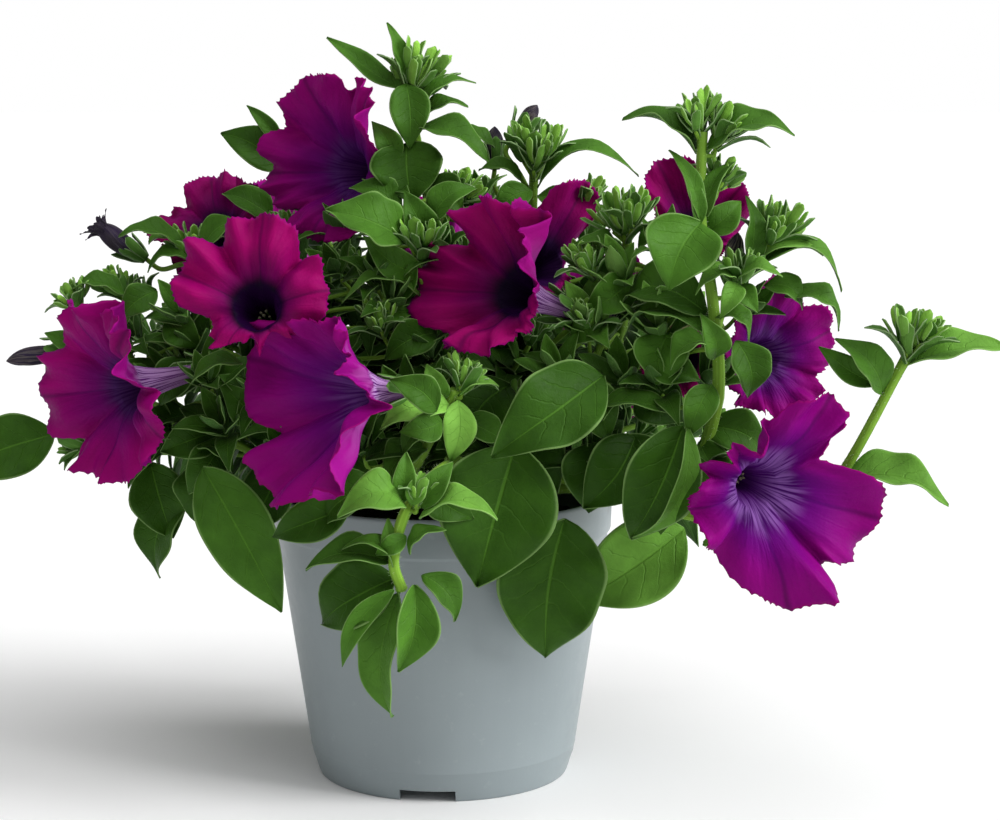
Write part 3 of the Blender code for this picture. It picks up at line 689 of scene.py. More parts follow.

# %% [markdown]
# ## The smaller leaves in front
# Between the main blades sit dozens of smaller ones, each at its own place: the whorl of the
# trailing shoot, the leaves round every bloom, the dark ones behind. They are listed one by one,
# because their overlaps make the plant this plant, and joined into one piece for each region.
# A row is (base, tip, width, youth, face, arch), and stops early where the face is the usual
# front one and the arch the usual 0.2.

# %% Smaller leaves by region
SMALL_LEAVES = {
    "hanging_shoot_leaves": [
        ((-19, 70, -105), (-40, 39, -109), 8, 0.5, "F", 0.06),
        ((-8, 76, -104), (6, 58, -104), 12, 0.3, "R", 0.12),
        ((-18, 75, -98), (-49, 57, -92), 25, 0.14, (-0.2, -1.0, 0.5), 0.12),
        ((-20, 81, -102), (-53, 80, -104), 14, 0.26, (-0.2, -0.7, 1.0), 0.16),
        ((-19, 79, -104), (-38, 88, -106), 8, 0.5, "U", 0.35), ((-20, 84, -103), (-21, 98, -104), 6, 0.6),
        ((-13, 84, -105), (1, 94, -106), 8, 0.55, "U", 0.3),
        ((-14, 91, -106), (-26, 84, -108), 7, 0.5, "F", 0.25), ((-12, 103, -108), (-7, 116, -106), 7, 0.62),
        ((-16, 104, -107), (-14, 124, -104), 8, 0.5, "F", 0.15),
        ((-8, 102, -106), (4, 120, -104), 9, 0.4, "F", 0.15), ((-6, 112, -80), (12, 98, -84), 14, 0.2),
        ((-24, 112, -82), (-48, 96, -84), 18, 0.16, "T", 0.15),
        ((-36, 102, -80), (-66, 91, -82), 16, 0.12, "F", 0.15),
    ],
    "short_shoot_leaves": [
        ((3, 142, -76), (-24, 135, -82), 15, 0.98, (-0.1, -0.8, 0.7)),
        ((6, 144, -76), (3, 120, -80), 12, 0.92, "F", 0.14),
        ((6, 146, -74), (21, 151, -74), 8, 0.7, "U", 0.25), ((2, 144, -74), (-6, 158, -72), 8, 0.6),
        ((6, 146, -74), (14, 160, -70), 7, 0.6), ((-2, 140, -88), (-20, 152, -92), 12, 0.3),
        ((0, 136, -84), (-16, 132, -90), 11, 0.35), ((2, 138, -72), (-16, 124, -72), 12, 0.3, "L"),
        ((8, 136, -70), (24, 128, -70), 12, 0.3, "R"), ((-6, 126, -66), (-22, 112, -72), 14, 0.3, "L"),
        ((26, 150, -50), (9, 129, -58), 24, 0.1, "F", 0.12),
        ((20, 156, -56), (-6, 150, -58), 18, 0.12, "U"), ((-2, 170, -50), (-22, 160, -54), 14, 0.2),
        ((-8, 184, -46), (-38, 184, -50), 9, 0.55, "U", 0.25),
        ((-10, 178, -46), (-30, 172, -50), 10, 0.4, "T"),
    ],
    "left_leaves": [
        ((-111, 204, 8), (-97, 206, 6), 9, 0.5, "U"),
        ((-98, 203, -2), (-122, 208, -4), 12, 0.32, "U", 0.16),
        ((-96, 198, -4), (-112, 195, -6), 8, 0.4, "U"), ((-90, 202, -4), (-76, 213, -6), 11, 0.4, "T"),
        ((-120, 184, -6), (-141, 188, -8), 11, 0.3, "U"), ((-118, 178, -8), (-134, 172, -10), 12, 0.25),
        ((-108, 186, -14), (-122, 176, -18), 12, 0.28), ((-104, 176, -20), (-92, 164, -24), 13, 0.2),
        ((-96, 160, -22), (-108, 142, -26), 15, 0.14), ((-88, 152, -26), (-76, 134, -30), 15, 0.16),
        ((-100, 130, -22), (-118, 122, -26), 12, 0.25, "U"),
        ((-94, 126, -30), (-80, 118, -36), 10, 0.35, "U"), ((-137, 164, 0), (-151, 170, -4), 8, 0.4),
        ((-86, 132, -20), (-108, 124, -28), 17, 0.16), ((-84, 128, -24), (-98, 108, -30), 15, 0.2),
        ((-96, 138, -10), (-116, 130, -16), 15, 0.2, "U"), ((-58, 122, -40), (-76, 132, -52), 15, 0.2, "U"),
        ((-60, 124, -44), (-54, 108, -58), 14, 0.24), ((-72, 138, -30), (-84, 150, -40), 14, 0.3),
        ((-100, 156, -4), (-116, 168, -12), 12, 0.3, "U"),
        ((-137, 162, -2), (-152, 152, -4), 8, 0.4, "U", 0.25),
        ((-126, 130, 38), (-146, 120, 28), 12, 0.2, "U"),
        ((-112, 120, -8), (-104, 90, -10), 22, 0.14, "F", 0.1),
        ((-90, 120, -20), (-96, 96, -22), 18, 0.14, "L", 0.14),
        ((-62, 122, -30), (-78, 92, -34), 20, 0.1, "F", 0.12), ((-60, 208, -26), (-64, 196, -34), 9, 0.4),
        ((-76, 158, -58), (-96, 152, -62), 10, 0.3, "U", 0.25),
        ((-58, 156, -58), (-44, 146, -60), 10, 0.3, "U", 0.25),
    ],
    "top_leaves": [
        ((-14, 262, -20), (-41, 284, -18), 9, 0.42, (0.3, -0.9, 0.7), -0.16),
        ((-12, 264, -18), (-19, 287, -18), 7, 0.5, "R", 0.05),
        ((-13, 264, -22), (-12, 240, -30), 15, 0.3, "F", 0.12),
        ((-13, 242, -26), (-11, 219, -34), 27, 0.2, "F", 0.1),
        ((-9, 247, -28), (18, 236, -34), 16, 0.3, "U"), ((-9, 252, -24), (12, 266, -22), 8, 0.5, "U"),
        ((-8, 250, -20), (10, 256, -16), 9, 0.4, "U"),
        ((-60, 232, 20), (-83, 246, 20), 15, 0.2, (-0.3, -0.9, 0.4), 0.12),
        ((-60, 240, 18), (-73, 256, 18), 6, 0.3, "F", 0.15),
        ((-64, 214, 16), (-82, 224, 14), 13, 0.26, "T", 0.16),
        ((-8, 192, -42), (-29, 207, -46), 12, 0.42, "F", 0.16),
        ((-4, 212, -40), (12, 226, -40), 12, 0.4, "T"), ((-2, 204, -38), (-14, 224, -40), 12, 0.36),
        ((-6, 226, -30), (8, 216, -34), 14, 0.3), ((-16, 214, -34), (-34, 226, -36), 12, 0.3, "T"),
        ((-18, 232, -26), (-26, 250, -26), 10, 0.3),
        ((36, 225, -2), (73, 234, -6), 11, 0.5, (0.0, -0.45, 1.0), 0.28),
        ((36, 222, -4), (52, 214, -8), 10, 0.45, "T"), ((34, 224, -4), (20, 214, -8), 11, 0.4),
        ((30, 228, 0), (14, 232, 0), 10, 0.4, "U"), ((32, 214, -6), (20, 204, -8), 13, 0.3),
        ((20, 240, 8), (4, 246, 8), 9, 0.3, "U"),
    ],
    "right_leaves": [
        ((98, 212, -78), (87, 240, -74), 7, 0.5, (0.5, -0.9, 0.2), 0.14),
        ((97, 210, -78), (92, 232, -76), 6, 0.42, (0.4, -0.9, 0.2), 0.16),
        ((100, 210, -68), (104, 234, -64), 6, 0.5, (-0.4, -0.9, 0.2), 0.1),
        ((100, 214, -74), (109, 236, -70), 7, 0.5, (-0.5, -0.9, 0.2), 0.14),
        ((99, 208, -68), (113, 220, -66), 11, 0.45),
        ((116, 192, -68), (118, 222, -64), 10, 0.24, "R", 0.12),
        ((112, 190, -76), (96, 187, -80), 9, 0.6, "U", 0.3),
        ((112, 190, -76), (129, 192, -80), 9, 0.6, "U", 0.3),
        ((112, 189, -77), (106, 176, -84), 8, 0.6, "F", 0.3),
        ((113, 188, -76), (120, 178, -82), 8, 0.5, "F", 0.3),
        ((112, 167, -78), (118, 145, -80), 15, 0.32, (0.3, -1.0, 0.2), 0.12),
        ((120, 196, -66), (153, 191, -64), 12, 0.56, (0.0, -0.4, 1.0), 0.3),
        ((119, 198, -66), (144, 202, -68), 8, 0.8, (0.0, -0.5, 1.0), 0.15),
        ((130, 184, -60), (152, 172, -58), 12, 0.5, (0.0, -0.5, 1.0), 0.3),
        ((122, 188, -62), (138, 180, -62), 10, 0.4, "T"),
        ((168, 146, -92), (150, 168, -92), 13, 0.44, (-0.3, -0.6, 0.9), 0.34),
        ((166, 150, -92), (144, 165, -90), 9, 0.3, "F", 0.16),
        ((94, 133, -84), (76, 88, -84), 11, 0.55, (0.6, -0.7, 0.3), 0.16),
        ((86, 170, -60), (82, 150, -66), 20, 0.46, "F", 0.12),
        ((66, 172, -50), (102, 172, -62), 13, 0.52, (0.0, -0.6, 1.0), 0.32),
        ((60, 142, -62), (90, 138, -66), 12, 0.3, "U"),
        ((74, 184, -44), (94, 192, -50), 12, 0.46, "U", 0.25), ((72, 190, -46), (54, 178, -52), 15, 0.42),
        ((74, 200, -40), (90, 206, -42), 11, 0.5, "U", 0.25),
        ((68, 198, -42), (50, 204, -44), 11, 0.42, "U", 0.25), ((66, 176, -48), (48, 166, -52), 14, 0.36),
        ((82, 160, -58), (98, 152, -66), 14, 0.34, "F", 0.25),
        ((100, 88, -88), (118, 84, -92), 12, 0.6, "U"), ((88, 112, -64), (84, 92, -70), 14, 0.3),
        ((96, 104, -74), (78, 100, -80), 9, 0.6, "U", 0.3), ((48, 154, -58), (34, 138, -62), 14, 0.3),
        ((48, 150, -56), (64, 128, -60), 18, 0.22, "F", 0.14),
        ((64, 128, -52), (56, 100, -56), 24, 0.12, "F", 0.1), ((100, 134, -68), (124, 124, -66), 16, 0.3),
        ((98, 128, -70), (112, 112, -72), 13, 0.36), ((102, 124, -66), (121, 134, -60), 12, 0.4, "T"),
        ((103, 150, -78), (94, 130, -84), 12, 0.4), ((102, 166, -78), (86, 158, -82), 13, 0.5, "U", 0.3),
        ((104, 160, -78), (99, 176, -84), 10, 0.5), ((98, 122, -74), (90, 104, -82), 14, 0.4),
        ((96, 116, -74), (110, 100, -80), 12, 0.45), ((104, 176, -76), (118, 168, -78), 10, 0.45, "U", 0.3),
        ((101, 196, -76), (92, 208, -80), 9, 0.5), ((101, 177, -70), (66, 184, -52), 20, 0.22, "T", 0.22),
        ((101, 170, -72), (68, 172, -58), 15, 0.42, (0.0, -0.5, 1.0), 0.3),
        ((74, 130, -56), (54, 102, -64), 24, 0.1, "F", 0.12),
        ((86, 126, -52), (66, 108, -56), 22, 0.14, "F", 0.14),
        ((76, 150, -44), (92, 136, -50), 20, 0.12, "F", 0.14),
        ((30, 138, -44), (44, 108, -50), 26, 0.08, "F", 0.1),
    ],
}


def make_small_leaves():
    for i, (name, rows) in enumerate(SMALL_LEAVES.items()):
        sheets = Sheets()
        for k, (base, tip, *look) in enumerate(rows):
            leaf(sheets, at(*base), at(*tip), *look, wave=0.12, seed=600 + 50 * i + k, liveliness=0.12)
        sheets.piece(name, LEAF_SIDES, 0.35, "leaf")
    print("smaller leaves:", sum(len(rows) for rows in SMALL_LEAVES.values()))


make_small_leaves()

# %% [markdown]
# ## Stems
# The stems are soft, round, slightly ribbed tubes that taper towards their tips. A curve with a
# bevel would do, but a swept grid takes its UV map from the same sheet builder, and its radius
# can swell at each node where leaves sit. The paths are smooth curves through the same points
# that the frame's stems follow, and short stalks leave them towards each bloom and bud.

# %% Swept tubes
def smooth_path(points, samples):
    """Catmull-Rom path through the given points, ends included."""
    knots = [points[0] * 2.0 - points[1]] + list(points) + [points[-1] * 2.0 - points[-2]]
    spans = len(points) - 1
    path = []
    for step in range(samples + 1):
        where = step * spans / samples
        i = min(int(where), spans - 1)
        t = where - i
        a, b, c, d = knots[i:i + 4]
        path.append(0.5 * (2.0 * b + (c - a) * t + (2.0 * a - 5.0 * b + 4.0 * c - d) * t * t
                           + (3.0 * b - a - 3.0 * c + d) * t * t * t))
    return path


def tube(sheets, path, radii, youth, around, ribs=0.05, knuckles=0.0):
    """A round stem along a path; radii are (start, end) in mm, both ends closed to a point."""
    last = len(path) - 1
    side = None
    grid, along = [], []
    for i, point in enumerate(path):
        ahead = (path[min(i + 1, last)] - path[max(i - 1, 0)]).normalized()
        if side is None:
            side = ahead.orthogonal().normalized()
        side = (side - ahead * side.dot(ahead)).normalized()
        other = ahead.cross(side)
        t = i / last
        radius = radii[0] + (radii[1] - radii[0]) * t
        radius *= 1.0 + knuckles * max(0.0, math.cos(t * math.tau * 4.0)) ** 8
        shares = (0.05, 1.0) if i == 0 else (1.0, 0.05) if i == last else (1.0,)
        for share in shares:
            ring = []
            for k in range(around):
                angle = math.tau * k / around
                r = radius * share * (1.0 + ribs * math.cos(5.0 * angle)) * MM
                ring.append(point + (side * math.cos(angle) + other * math.sin(angle)) * r)
            grid.append(ring)
            along.append(t)
    sheets.grid(grid, youth, closed=True, lengthwise=along)


STEM_ROUTES = {
    "stem_top_left": ([(-3, 113, 0), (0, 150, 4), (-2, 200, 0), (-8, 236, -6), (-13, 262, -15)], 2.3, 1.6),
    "stem_top_middle": ([(4, 114, 6), (18, 150, 12), (32, 190, 8), (35, 232, 2)], 2.3, 1.7),
    "stem_right_middle": ([(9, 112, 0), (40, 130, -6), (64, 160, -26), (70, 186, -34),
                           (70, 210, -37)], 2.4, 1.8),
    "stem_right_tall": ([(11, 108, -6), (62, 112, -46), (94, 118, -66), (105, 145, -72), (103, 180, -72),
                         (98, 212, -72), (98, 246, -72)], 2.6, 1.8),
    "stem_right_low": ([(11, 104, -14), (50, 114, -40), (93, 100, -62), (132, 96, -66), (152, 114, -84),
                        (177, 161, -95)], 2.4, 1.7),
    "stem_front_hanging": ([(3, 104, -14), (7, 119, -56), (-2, 116, -86), (-14, 101, -104), (-19, 82, -103),
                            (-16, 70, -100)], 2.2, 1.9),
    "stem_front_short": ([(-7, 107, -11), (-11, 116, -44), (-6, 126, -66), (5, 148, -75)], 2.2, 1.6),
    "stem_left_front": ([(-10, 108, -6), (-34, 132, -24), (-52, 158, -28), (-60, 176, -30)], 2.2, 1.6),
    "stem_left_upper": ([(-9, 111, 4), (-40, 146, 14), (-70, 176, 10), (-90, 196, 2)], 2.2, 1.5),
    "stem_left_long": ([(-11, 105, 2), (-58, 118, 6), (-100, 140, -2), (-124, 166, -4), (-136, 180, -4)],
                       2.4, 1.5),
    "stem_left_low": ([(-10, 109, 9), (-34, 119, 16), (-64, 123, 27), (-110, 127, 38), (-149, 131, 40)],
                      2.2, 1.2),
    "stem_back_left": ([(-5, 108, 11), (-30, 132, 46), (-44, 162, 68), (-47, 188, 76)], 2.3, 1.8),
    "stem_back_right": ([(7, 107, 11), (30, 128, 44), (44, 150, 64), (50, 166, 72)], 2.3, 1.8),
}
STEM_SAMPLES = 44
STALK_SAMPLES = 18
STEM_PATHS = {name: smooth_path([at(*p) for p in points], STEM_SAMPLES)
              for name, (points, _, _) in STEM_ROUTES.items()}
STALKS = {name: [] for name in STEM_ROUTES}


def add_stalk(stem, share, end, aim, radius=1.0, youth=0.4):
    """Remember a side stalk from a share of a stem to end, arriving along aim."""
    path = STEM_PATHS[stem]
    start = path[min(int(round(share * (len(path) - 1))), len(path) - 1)]
    length = (end - start).length
    run_in = end - aim * min(7.0 * MM, 0.35 * length)
    middle = start.lerp(run_in, 0.5) + Vector((0.0, 0.0, 0.04)) * length
    STALKS[stem].append((smooth_path([start, middle, run_in, end], STALK_SAMPLES), radius, youth))


print("stem routes:", len(STEM_PATHS))

# %% [markdown]
# ## One bloom
# A petunia bloom is a single sheet: a slim tube that opens into a throat and then spreads into
# a limb of five grown-together lobes. The limb isn't flat. Each lobe bends its own way, it is
# pinched back where two lobes meet, flutes run out to the edge and grow as they go, and the
# edge itself is finely and unevenly toothed. A subdivided disc with textures would give the
# flutes, but here each ring of the sheet is worked out from the one inside it, so a lobe that
# bends back carries its flutes and teeth with it.

# %% Bloom helpers
TUBE_PROFILE = ((1.7, -36.0), (2.2, -33.0), (2.7, -28.0), (3.1, -22.0), (3.6, -17.0), (4.3, -12.0),
                (5.3, -7.5), (6.5, -3.6))
THROAT_RADIUS = 8.0
LIMB_RINGS = 24
TEETH = 104
BLOOM_STEPS = TEETH * 3
LIMB_START = 0.36


def lobe_blend(values, angle):
    """Smooth mix of the five lobe values at an angle in degrees from the first lobe."""
    total, weight_sum = 0.0, 0.0
    for i, value in enumerate(values):
        away = abs((angle - 72.0 * i + 180.0) % 360.0 - 180.0)
        if away < 72.0:
            weight = math.cos(math.radians(away * 1.25)) ** 2
            total += value * weight
            weight_sum += weight
    return total / weight_sum


def flute(angle, away, share, phases, size):
    """Height of the folds and waves over the limb, in mm."""
    a = math.radians(angle)
    slow = noise.noise(Vector((math.cos(a) * 1.3, math.sin(a) * 1.3, phases[0]))) * 2.0
    panel = 1.7 * math.sin(math.pi * away / 36.0) ** 2 - 0.7 * math.exp(-(away / 4.5) ** 2)
    big = math.sin(8.0 * a + 3.2 * slow + phases[1]) * share ** 2.2
    small = math.sin(23.0 * a + 4.4 * slow + phases[2]) * share ** 5
    dimple = noise.noise(Vector((math.cos(a) * 2.6, math.sin(a) * 2.6, share * 2.2 + phases[0]))) * share
    return size * (panel * share ** 0.7 + 2.0 * big + 0.9 * small + 3.8 * dimple + 2.8 * slow * share ** 2)


def pull_on(pulls, angle, share):
    """How far a place on the limb is drawn aside, in mm: each pull has an angle, a width and a way."""
    drawn = Vector()
    for place, width, way in pulls:
        away = abs((angle - place + 180.0) % 360.0 - 180.0) / width
        if away < 1.0:
            drawn += Vector(way) * (1.0 - away * away) ** 2 * share ** 1.4
    return drawn


def bloom_rings(throat, turn, tilt, spin, lengths, bends, tube_length, ruffle, flare, rng, pulls):
    """Rings of points from the tube's foot to the toothed edge, and their places along the sheet."""
    axis, right, up = flower_axes(turn, tilt)
    outs = []
    for k in range(BLOOM_STEPS):
        angle = math.radians(360.0 * k / BLOOM_STEPS + spin)
        outs.append(right * math.sin(angle) + up * math.cos(angle))
    rings, along = [], []
    for i, (radius, depth) in enumerate(TUBE_PROFILE):
        pleat = 0.012 * i
        rings.append([throat + (out * radius * (1.0 - pleat * math.cos(math.tau * 5 * k / BLOOM_STEPS))
                                + axis * depth * tube_length / 36.0) * MM for k, out in enumerate(outs)])
        along.append(LIMB_START * i / len(TUBE_PROFILE))
    phases = [rng.uniform(0.0, 20.0) for _ in range(3)]
    teeth = [rng.uniform(0.35, 1.25) for _ in range(TEETH)]
    rings.append([throat + out * THROAT_RADIUS * MM for out in outs])
    along.append(LIMB_START)
    spots = [[THROAT_RADIUS, 0.0] for _ in outs]
    for ring in range(1, LIMB_RINGS + 1):
        share = ring / LIMB_RINGS
        row = []
        for k, out in enumerate(outs):
            angle = 360.0 * k / BLOOM_STEPS
            away = abs((angle + 36.0) % 72.0 - 36.0)
            split = max(0.0, (away - 22.0) / 14.0)
            notch = 1.0 - 0.19 * split * split * (3.0 - 2.0 * split) + 0.03 * math.exp(-(away / 4.0) ** 2)
            reach = max(lobe_blend(lengths, angle) * notch - THROAT_RADIUS, 3.0)
            step = reach / LIMB_RINGS
            if ring == LIMB_RINGS:
                step += teeth[k // 3] * (0.2, 1.1, 0.4)[k % 3] - 0.3
            bend = 2.0 * lobe_blend(bends, angle) * (share - 0.5 / LIMB_RINGS)
            slope = math.radians(bend - flare * (1.0 - 0.62 * share))
            spots[k][0] += step * math.cos(slope)
            spots[k][1] -= step * math.sin(slope)
            pinch = -4.6 * (away / 36.0) ** 4 * share ** 0.8
            height = (flute(angle, away, share, phases, ruffle) + pinch) * min(1.0, reach / 20.0 + 0.2)
            normal = axis * math.cos(slope) + out * math.sin(slope)
            drawn = pull_on(pulls, angle + spin, share)
            row.append(throat + (out * spots[k][0] + axis * spots[k][1] + normal * height + drawn) * MM)
        rings.append(row)
        along.append(LIMB_START + (1.0 - LIMB_START) * share)
    return rings, along


print("a bloom has", BLOOM_STEPS, "points round its edge, in", TEETH, "teeth")

# %% [markdown]
# Behind each bloom sit five narrow spoon-shaped sepals, and in the throat the anthers and the
# stigma. The anthers are small turned drops on thin threads. Both are made with the sheet and
# tube builders above.

# %% Sepals, anthers and blooms
SEPALS = 5
BLADE_SEEDS = 10 ** 6


def square_to(direction):
    """Two directions at right angles to the given one and to each other."""
    side = direction.orthogonal().normalized()
    return side, direction.cross(side)


def ring_of_sepals(sheets, foot, axis, length, width, spread, youth, rng):
    """Sepals round a tube's or bud's foot; spread is degrees away from the axis."""
    side = axis.orthogonal().normalized()
    start = rng.uniform(0.0, math.tau)
    for i in range(SEPALS):
        angle = start + math.tau * i / SEPALS + rng.uniform(-0.15, 0.15)
        out = Matrix.Rotation(angle, 3, axis) @ side
        lean = math.radians(spread + rng.uniform(-9.0, 9.0))
        forward = axis * math.cos(lean) + out * math.sin(lean)
        facing = axis * math.sin(lean) - out * math.cos(lean)
        base = foot + out * 1.5 * MM
        tip = base + forward * length * rng.uniform(0.85, 1.12) * MM
        leaf(sheets, base, tip, width, youth, facing, -0.08, 0.3, spoon, 0.05, rows=9, columns=6,
             seed=rng.randrange(BLADE_SEEDS))


def drop(sheets, centre, forward, length, radius, youth):
    """A small turned grain such as an anther."""
    steps = 7
    path = [centre + forward * (i / (steps - 1) - 0.5) * length * MM for i in range(steps)]
    side, other = square_to(forward)
    grid = []
    for i, point in enumerate(path):
        r = radius * max(math.sin(math.pi * i / (steps - 1)), 0.05) ** 0.7 * MM
        grid.append([point + (side * math.cos(a) + other * math.sin(a)) * r
                     for a in (math.tau * k / 8 for k in range(8))])
    sheets.grid(grid, youth, closed=True)


print("a calyx has", SEPALS, "sepals")

# %% [markdown]
# Every bloom is given its own numbers, because no two are alike. The first lobe points up, turned
# by the spin, and the others follow to its right. A positive bend turns a lobe back, a negative
# one forward, and the pulls draw a part of the edge aside.

# %% Where the blooms are
BLOOMS = [
    # name, stem and share, throat, turn, tilt, spin, lobe reaches, lobe bends, tube, ruffle, flare,
    # glow (painted light: how brightly lit the bloom looks), and the pulls: angle and width in
    # degrees, and the way in mm
    ("top_left", "stem_top_left", 0.75, (-33, 231, -12), -46, 4, -22,
     (45, 38, 18, 32, 38), (-8, -4, 40, 4, 2), 36, 1.7, 40, 0.55,
     ((-22, 50, (6, 0, -3)), (60, 50, (-3, 2, 8)), (200, 50, (-3, 0, 4)))),
    ("far_left", "stem_left_upper", 0.62, (-85, 208, 26), -24, 44, -22,
     (26, 26, 26, 24, 24), (-4, -20, 0, 0, 14), 28, 1.3, 36, 0.1,
     ((270, 40, (-2, 0, 0)),)),
    ("front_left", "stem_left_front", 1.0, (-70, 179, -72), -8, 20, 4,
     (34, 27, 11, 13, 32), (8, 26, 50, 44, 14), 34, 1.4, 46, 0.0,
     ((110, 30, (0, -2, -4)), (170, 24, (0, -4, -6)), (232, 30, (-5, -3, -6)))),
    ("left", "stem_left_long", 0.62, (-119, 149, -50), -50, -6, -26,
     (40, 36, 30, 36, 42), (-4, -10, 20, 4, 4), 36, 1.7, 40, 0.3,
     ((-30, 40, (3, 0, 0)), (40, 40, (2, 0, 4)), (256, 40, (-3, -3, 0)))),
    ("front_middle", "stem_front_short", 0.62, (-29, 147, -86), -66, 0, -10,
     (28, 16, 40, 50, 56), (2, -10, -10, 2, 4), 17, 1.8, 44, 0.75,
     ((-10, 50, (-4, -4, 0)), (34, 40, (-4, -3, 0)), (138, 46, (-2, -10, -2)), (206, 50, (-5, 3, 0)),
      (278, 60, (-9, -7, 0)), (316, 40, (0, -6, 0)))),
    ("middle", "stem_right_middle", 0.62, (29, 185, -64), -52, 20, -26,
     (38, 36, 16, 26, 42), (-4, -14, 20, 2, 2), 28, 1.8, 42, 0.0,
     ((42, 50, (0, 6, 4)), (-26, 50, (6, 0, 0)), (262, 50, (-3, 0, 0)), (204, 50, (-6, -3, 0)))),
    ("middle_behind", "stem_top_middle", 0.62, (38, 196, -24), 30, 20, 34,
     (35, 13, 12, 12, 14), (-6, -4, 0, 0, 0), 24, 1.1, 30, 0.1,
     ((85, 50, (-5, 0, 0)),)),
    ("right", "stem_right_middle", 0.5, (121, 160, -42), 28, 2, 0,
     (33, 30, 27, 20, 22), (0, 8, 4, 0, 4), 30, 1.2, 42, 0.75, ()),
    ("front_right", "stem_right_tall", 0.38, (120, 111, -100), 26, -4, 34,
     (41, 47, 44, 25, 22), (2, 2, 2, 14, -8), 30, 1.7, 40, 0.95,
     ((18, 30, (0, 3, 0)), (68, 26, (-13, -4, 0)), (170, 40, (7, 0, 0)), (196, 24, (4, 7, 0)),
      (250, 40, (-2, 0, 0)))),
    ("right_behind", "stem_top_middle", 0.62, (96, 206, -8), 4, 24, -28,
     (32, 27, 12, 10, 14), (-4, -4, 0, 0, -6), 26, 1.3, 30, 0.1,
     ((10, 30, (0, -14, 0)),)),
    ("back_left", "stem_back_left", 1.0, (-62, 196, 100), -150, 10, 15,
     (36, 34, 36, 38, 36), (10, 16, 6, 14, 10), 30, 1.2, 44, 0.4, ()),
    ("back_right", "stem_back_right", 1.0, (62, 168, 100), 160, 0, -20,
     (38, 36, 32, 38, 40), (16, 6, 4, 16, 10), 30, 1.2, 44, 0.4, ()),
    ("shaded", "stem_right_middle", 0.5, (89, 160, -20), -14, -4, 20,
     (14, 15, 14, 14, 14), (0, 10, 4, 0, 6), 26, 1.2, 40, 0.02, ()),
    ("back_top", "stem_top_left", 0.6, (6, 196, 96), 176, 20, 40,
     (32, 34, 30, 34, 32), (10, 6, 14, 8, 10), 30, 1.2, 44, 0.4, ()),
]
print("blooms listed:", len(BLOOMS))

# %% [markdown]
# Each bloom is a piece of its own, and stands for its corolla if the frame has one. Sepals,
# anthers and threads are collected on the way and joined, one piece of each kind.

# %% Make the blooms
def make_blooms():
    calyx = Sheets()
    grains = Sheets()
    threads = Sheets()
    for i, (name, stem, share, throat, turn, tilt, spin, lengths, bends, tube_length, ruffle, flare,
            painted_glow, pulls) in enumerate(BLOOMS):
        rng = random.Random(70 + i)
        axis, right, up = flower_axes(turn, tilt)
        centre = at(*throat)
        sheets = Sheets()
        rings, along = bloom_rings(centre, turn, tilt, spin, lengths, bends, tube_length, ruffle, flare,
                                   rng, pulls)
        # The glow, painted light, goes on the sheet as its youth number.
        sheets.grid(rings, painted_glow, closed=True, lengthwise=along)
        node = "corolla_" + name
        stands_for = (node,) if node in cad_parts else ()
        sheets.piece("bloom_" + name, (PETAL_IN, PETAL_OUT), 0.3, "petal", stands_for)
        foot = centre - axis * tube_length * MM
        ring_of_sepals(calyx, foot, axis, 15.0, 4.6, 24.0, 0.5, rng)
        add_stalk(stem, share, foot + axis * 1.0 * MM, axis)
        for k in range(5):
            angle = math.tau * k / 5 + 0.4
            out = right * math.sin(angle) + up * math.cos(angle)
            end = centre + (out * 1.8 - axis * (10.0 + 1.2 * (k % 3))) * MM
            start = centre + (out * 1.2 - axis * 0.6 * tube_length) * MM
            tube(threads, [start, start.lerp(end, 0.5), end], (0.3, 0.3), 0.3, around=6)
            drop(grains, end, (out + axis).normalized(), 1.5, 0.5, 0.3)
        drop(grains, centre - axis * 10.0 * MM, axis, 1.4, 0.7, 0.6)
    calyx.piece("bloom_sepals", (SEPAL,), 0.4, "young_leaf")
    grains.piece("bloom_anthers", (ANTHER,), 0.0, "bud")
    threads.piece("bloom_filaments", (STEM,), 0.0, "stem")
    print("blooms:", len(BLOOMS))


make_blooms()

# %% [markdown]
# ## Shoot tips
# Every shoot ends in a tight bunch of young leaves, which hides the next buds: little rosettes
# of spoon-shaped sepals with pale hairy rims, side by side. One rosette is a spiral of blades
# by the golden angle, wide open at the bottom and upright in the middle. A tuft is a few
# leaves spread below and several rosettes, each leaning its own way. A spray is one rosette of
# larger oval leaves, which fills a gap between shoots. Sprays and the tufts that end no main
# shoot get a thin stalk from the nearest stem below, so that nothing floats.

# %% Rosettes and tufts
GOLDEN_ANGLE = math.radians(137.5)


def rosette(sheets, root, direction, size, rng, count, open_angle, youth, width, outline=spoon):
    """Spoon-shaped blades round a direction; size is the outer blades' length in mm."""
    side = direction.orthogonal().normalized()
    turn = rng.uniform(0.0, math.tau)
    for i in range(count):
        share = i / max(count - 1, 1)
        out = Matrix.Rotation(turn + i * GOLDEN_ANGLE, 3, direction) @ side
        lean = math.radians(open_angle * (1.0 - share) ** 1.1 + 6.0 + rng.uniform(-5.0, 5.0))
        forward = direction * math.cos(lean) + out * math.sin(lean)
        facing = direction * math.sin(lean) - out * math.cos(lean)
        length = size * (1.0 - 0.3 * share) * rng.uniform(0.86, 1.12)
        base = root + direction * size * 0.35 * share * MM + out * 0.8 * MM
        tip = base + forward * length * MM
        age = youth[0] + (youth[1] - youth[0]) * share
        leaf(sheets, base, tip, length * width, age, facing, -0.1 if lean < 0.7 else 0.1, 0.36, outline,
             0.06, droop=0.1 if lean > 0.9 else 0.0, rows=9, columns=6, seed=rng.randrange(BLADE_SEEDS),
             liveliness=0.06)


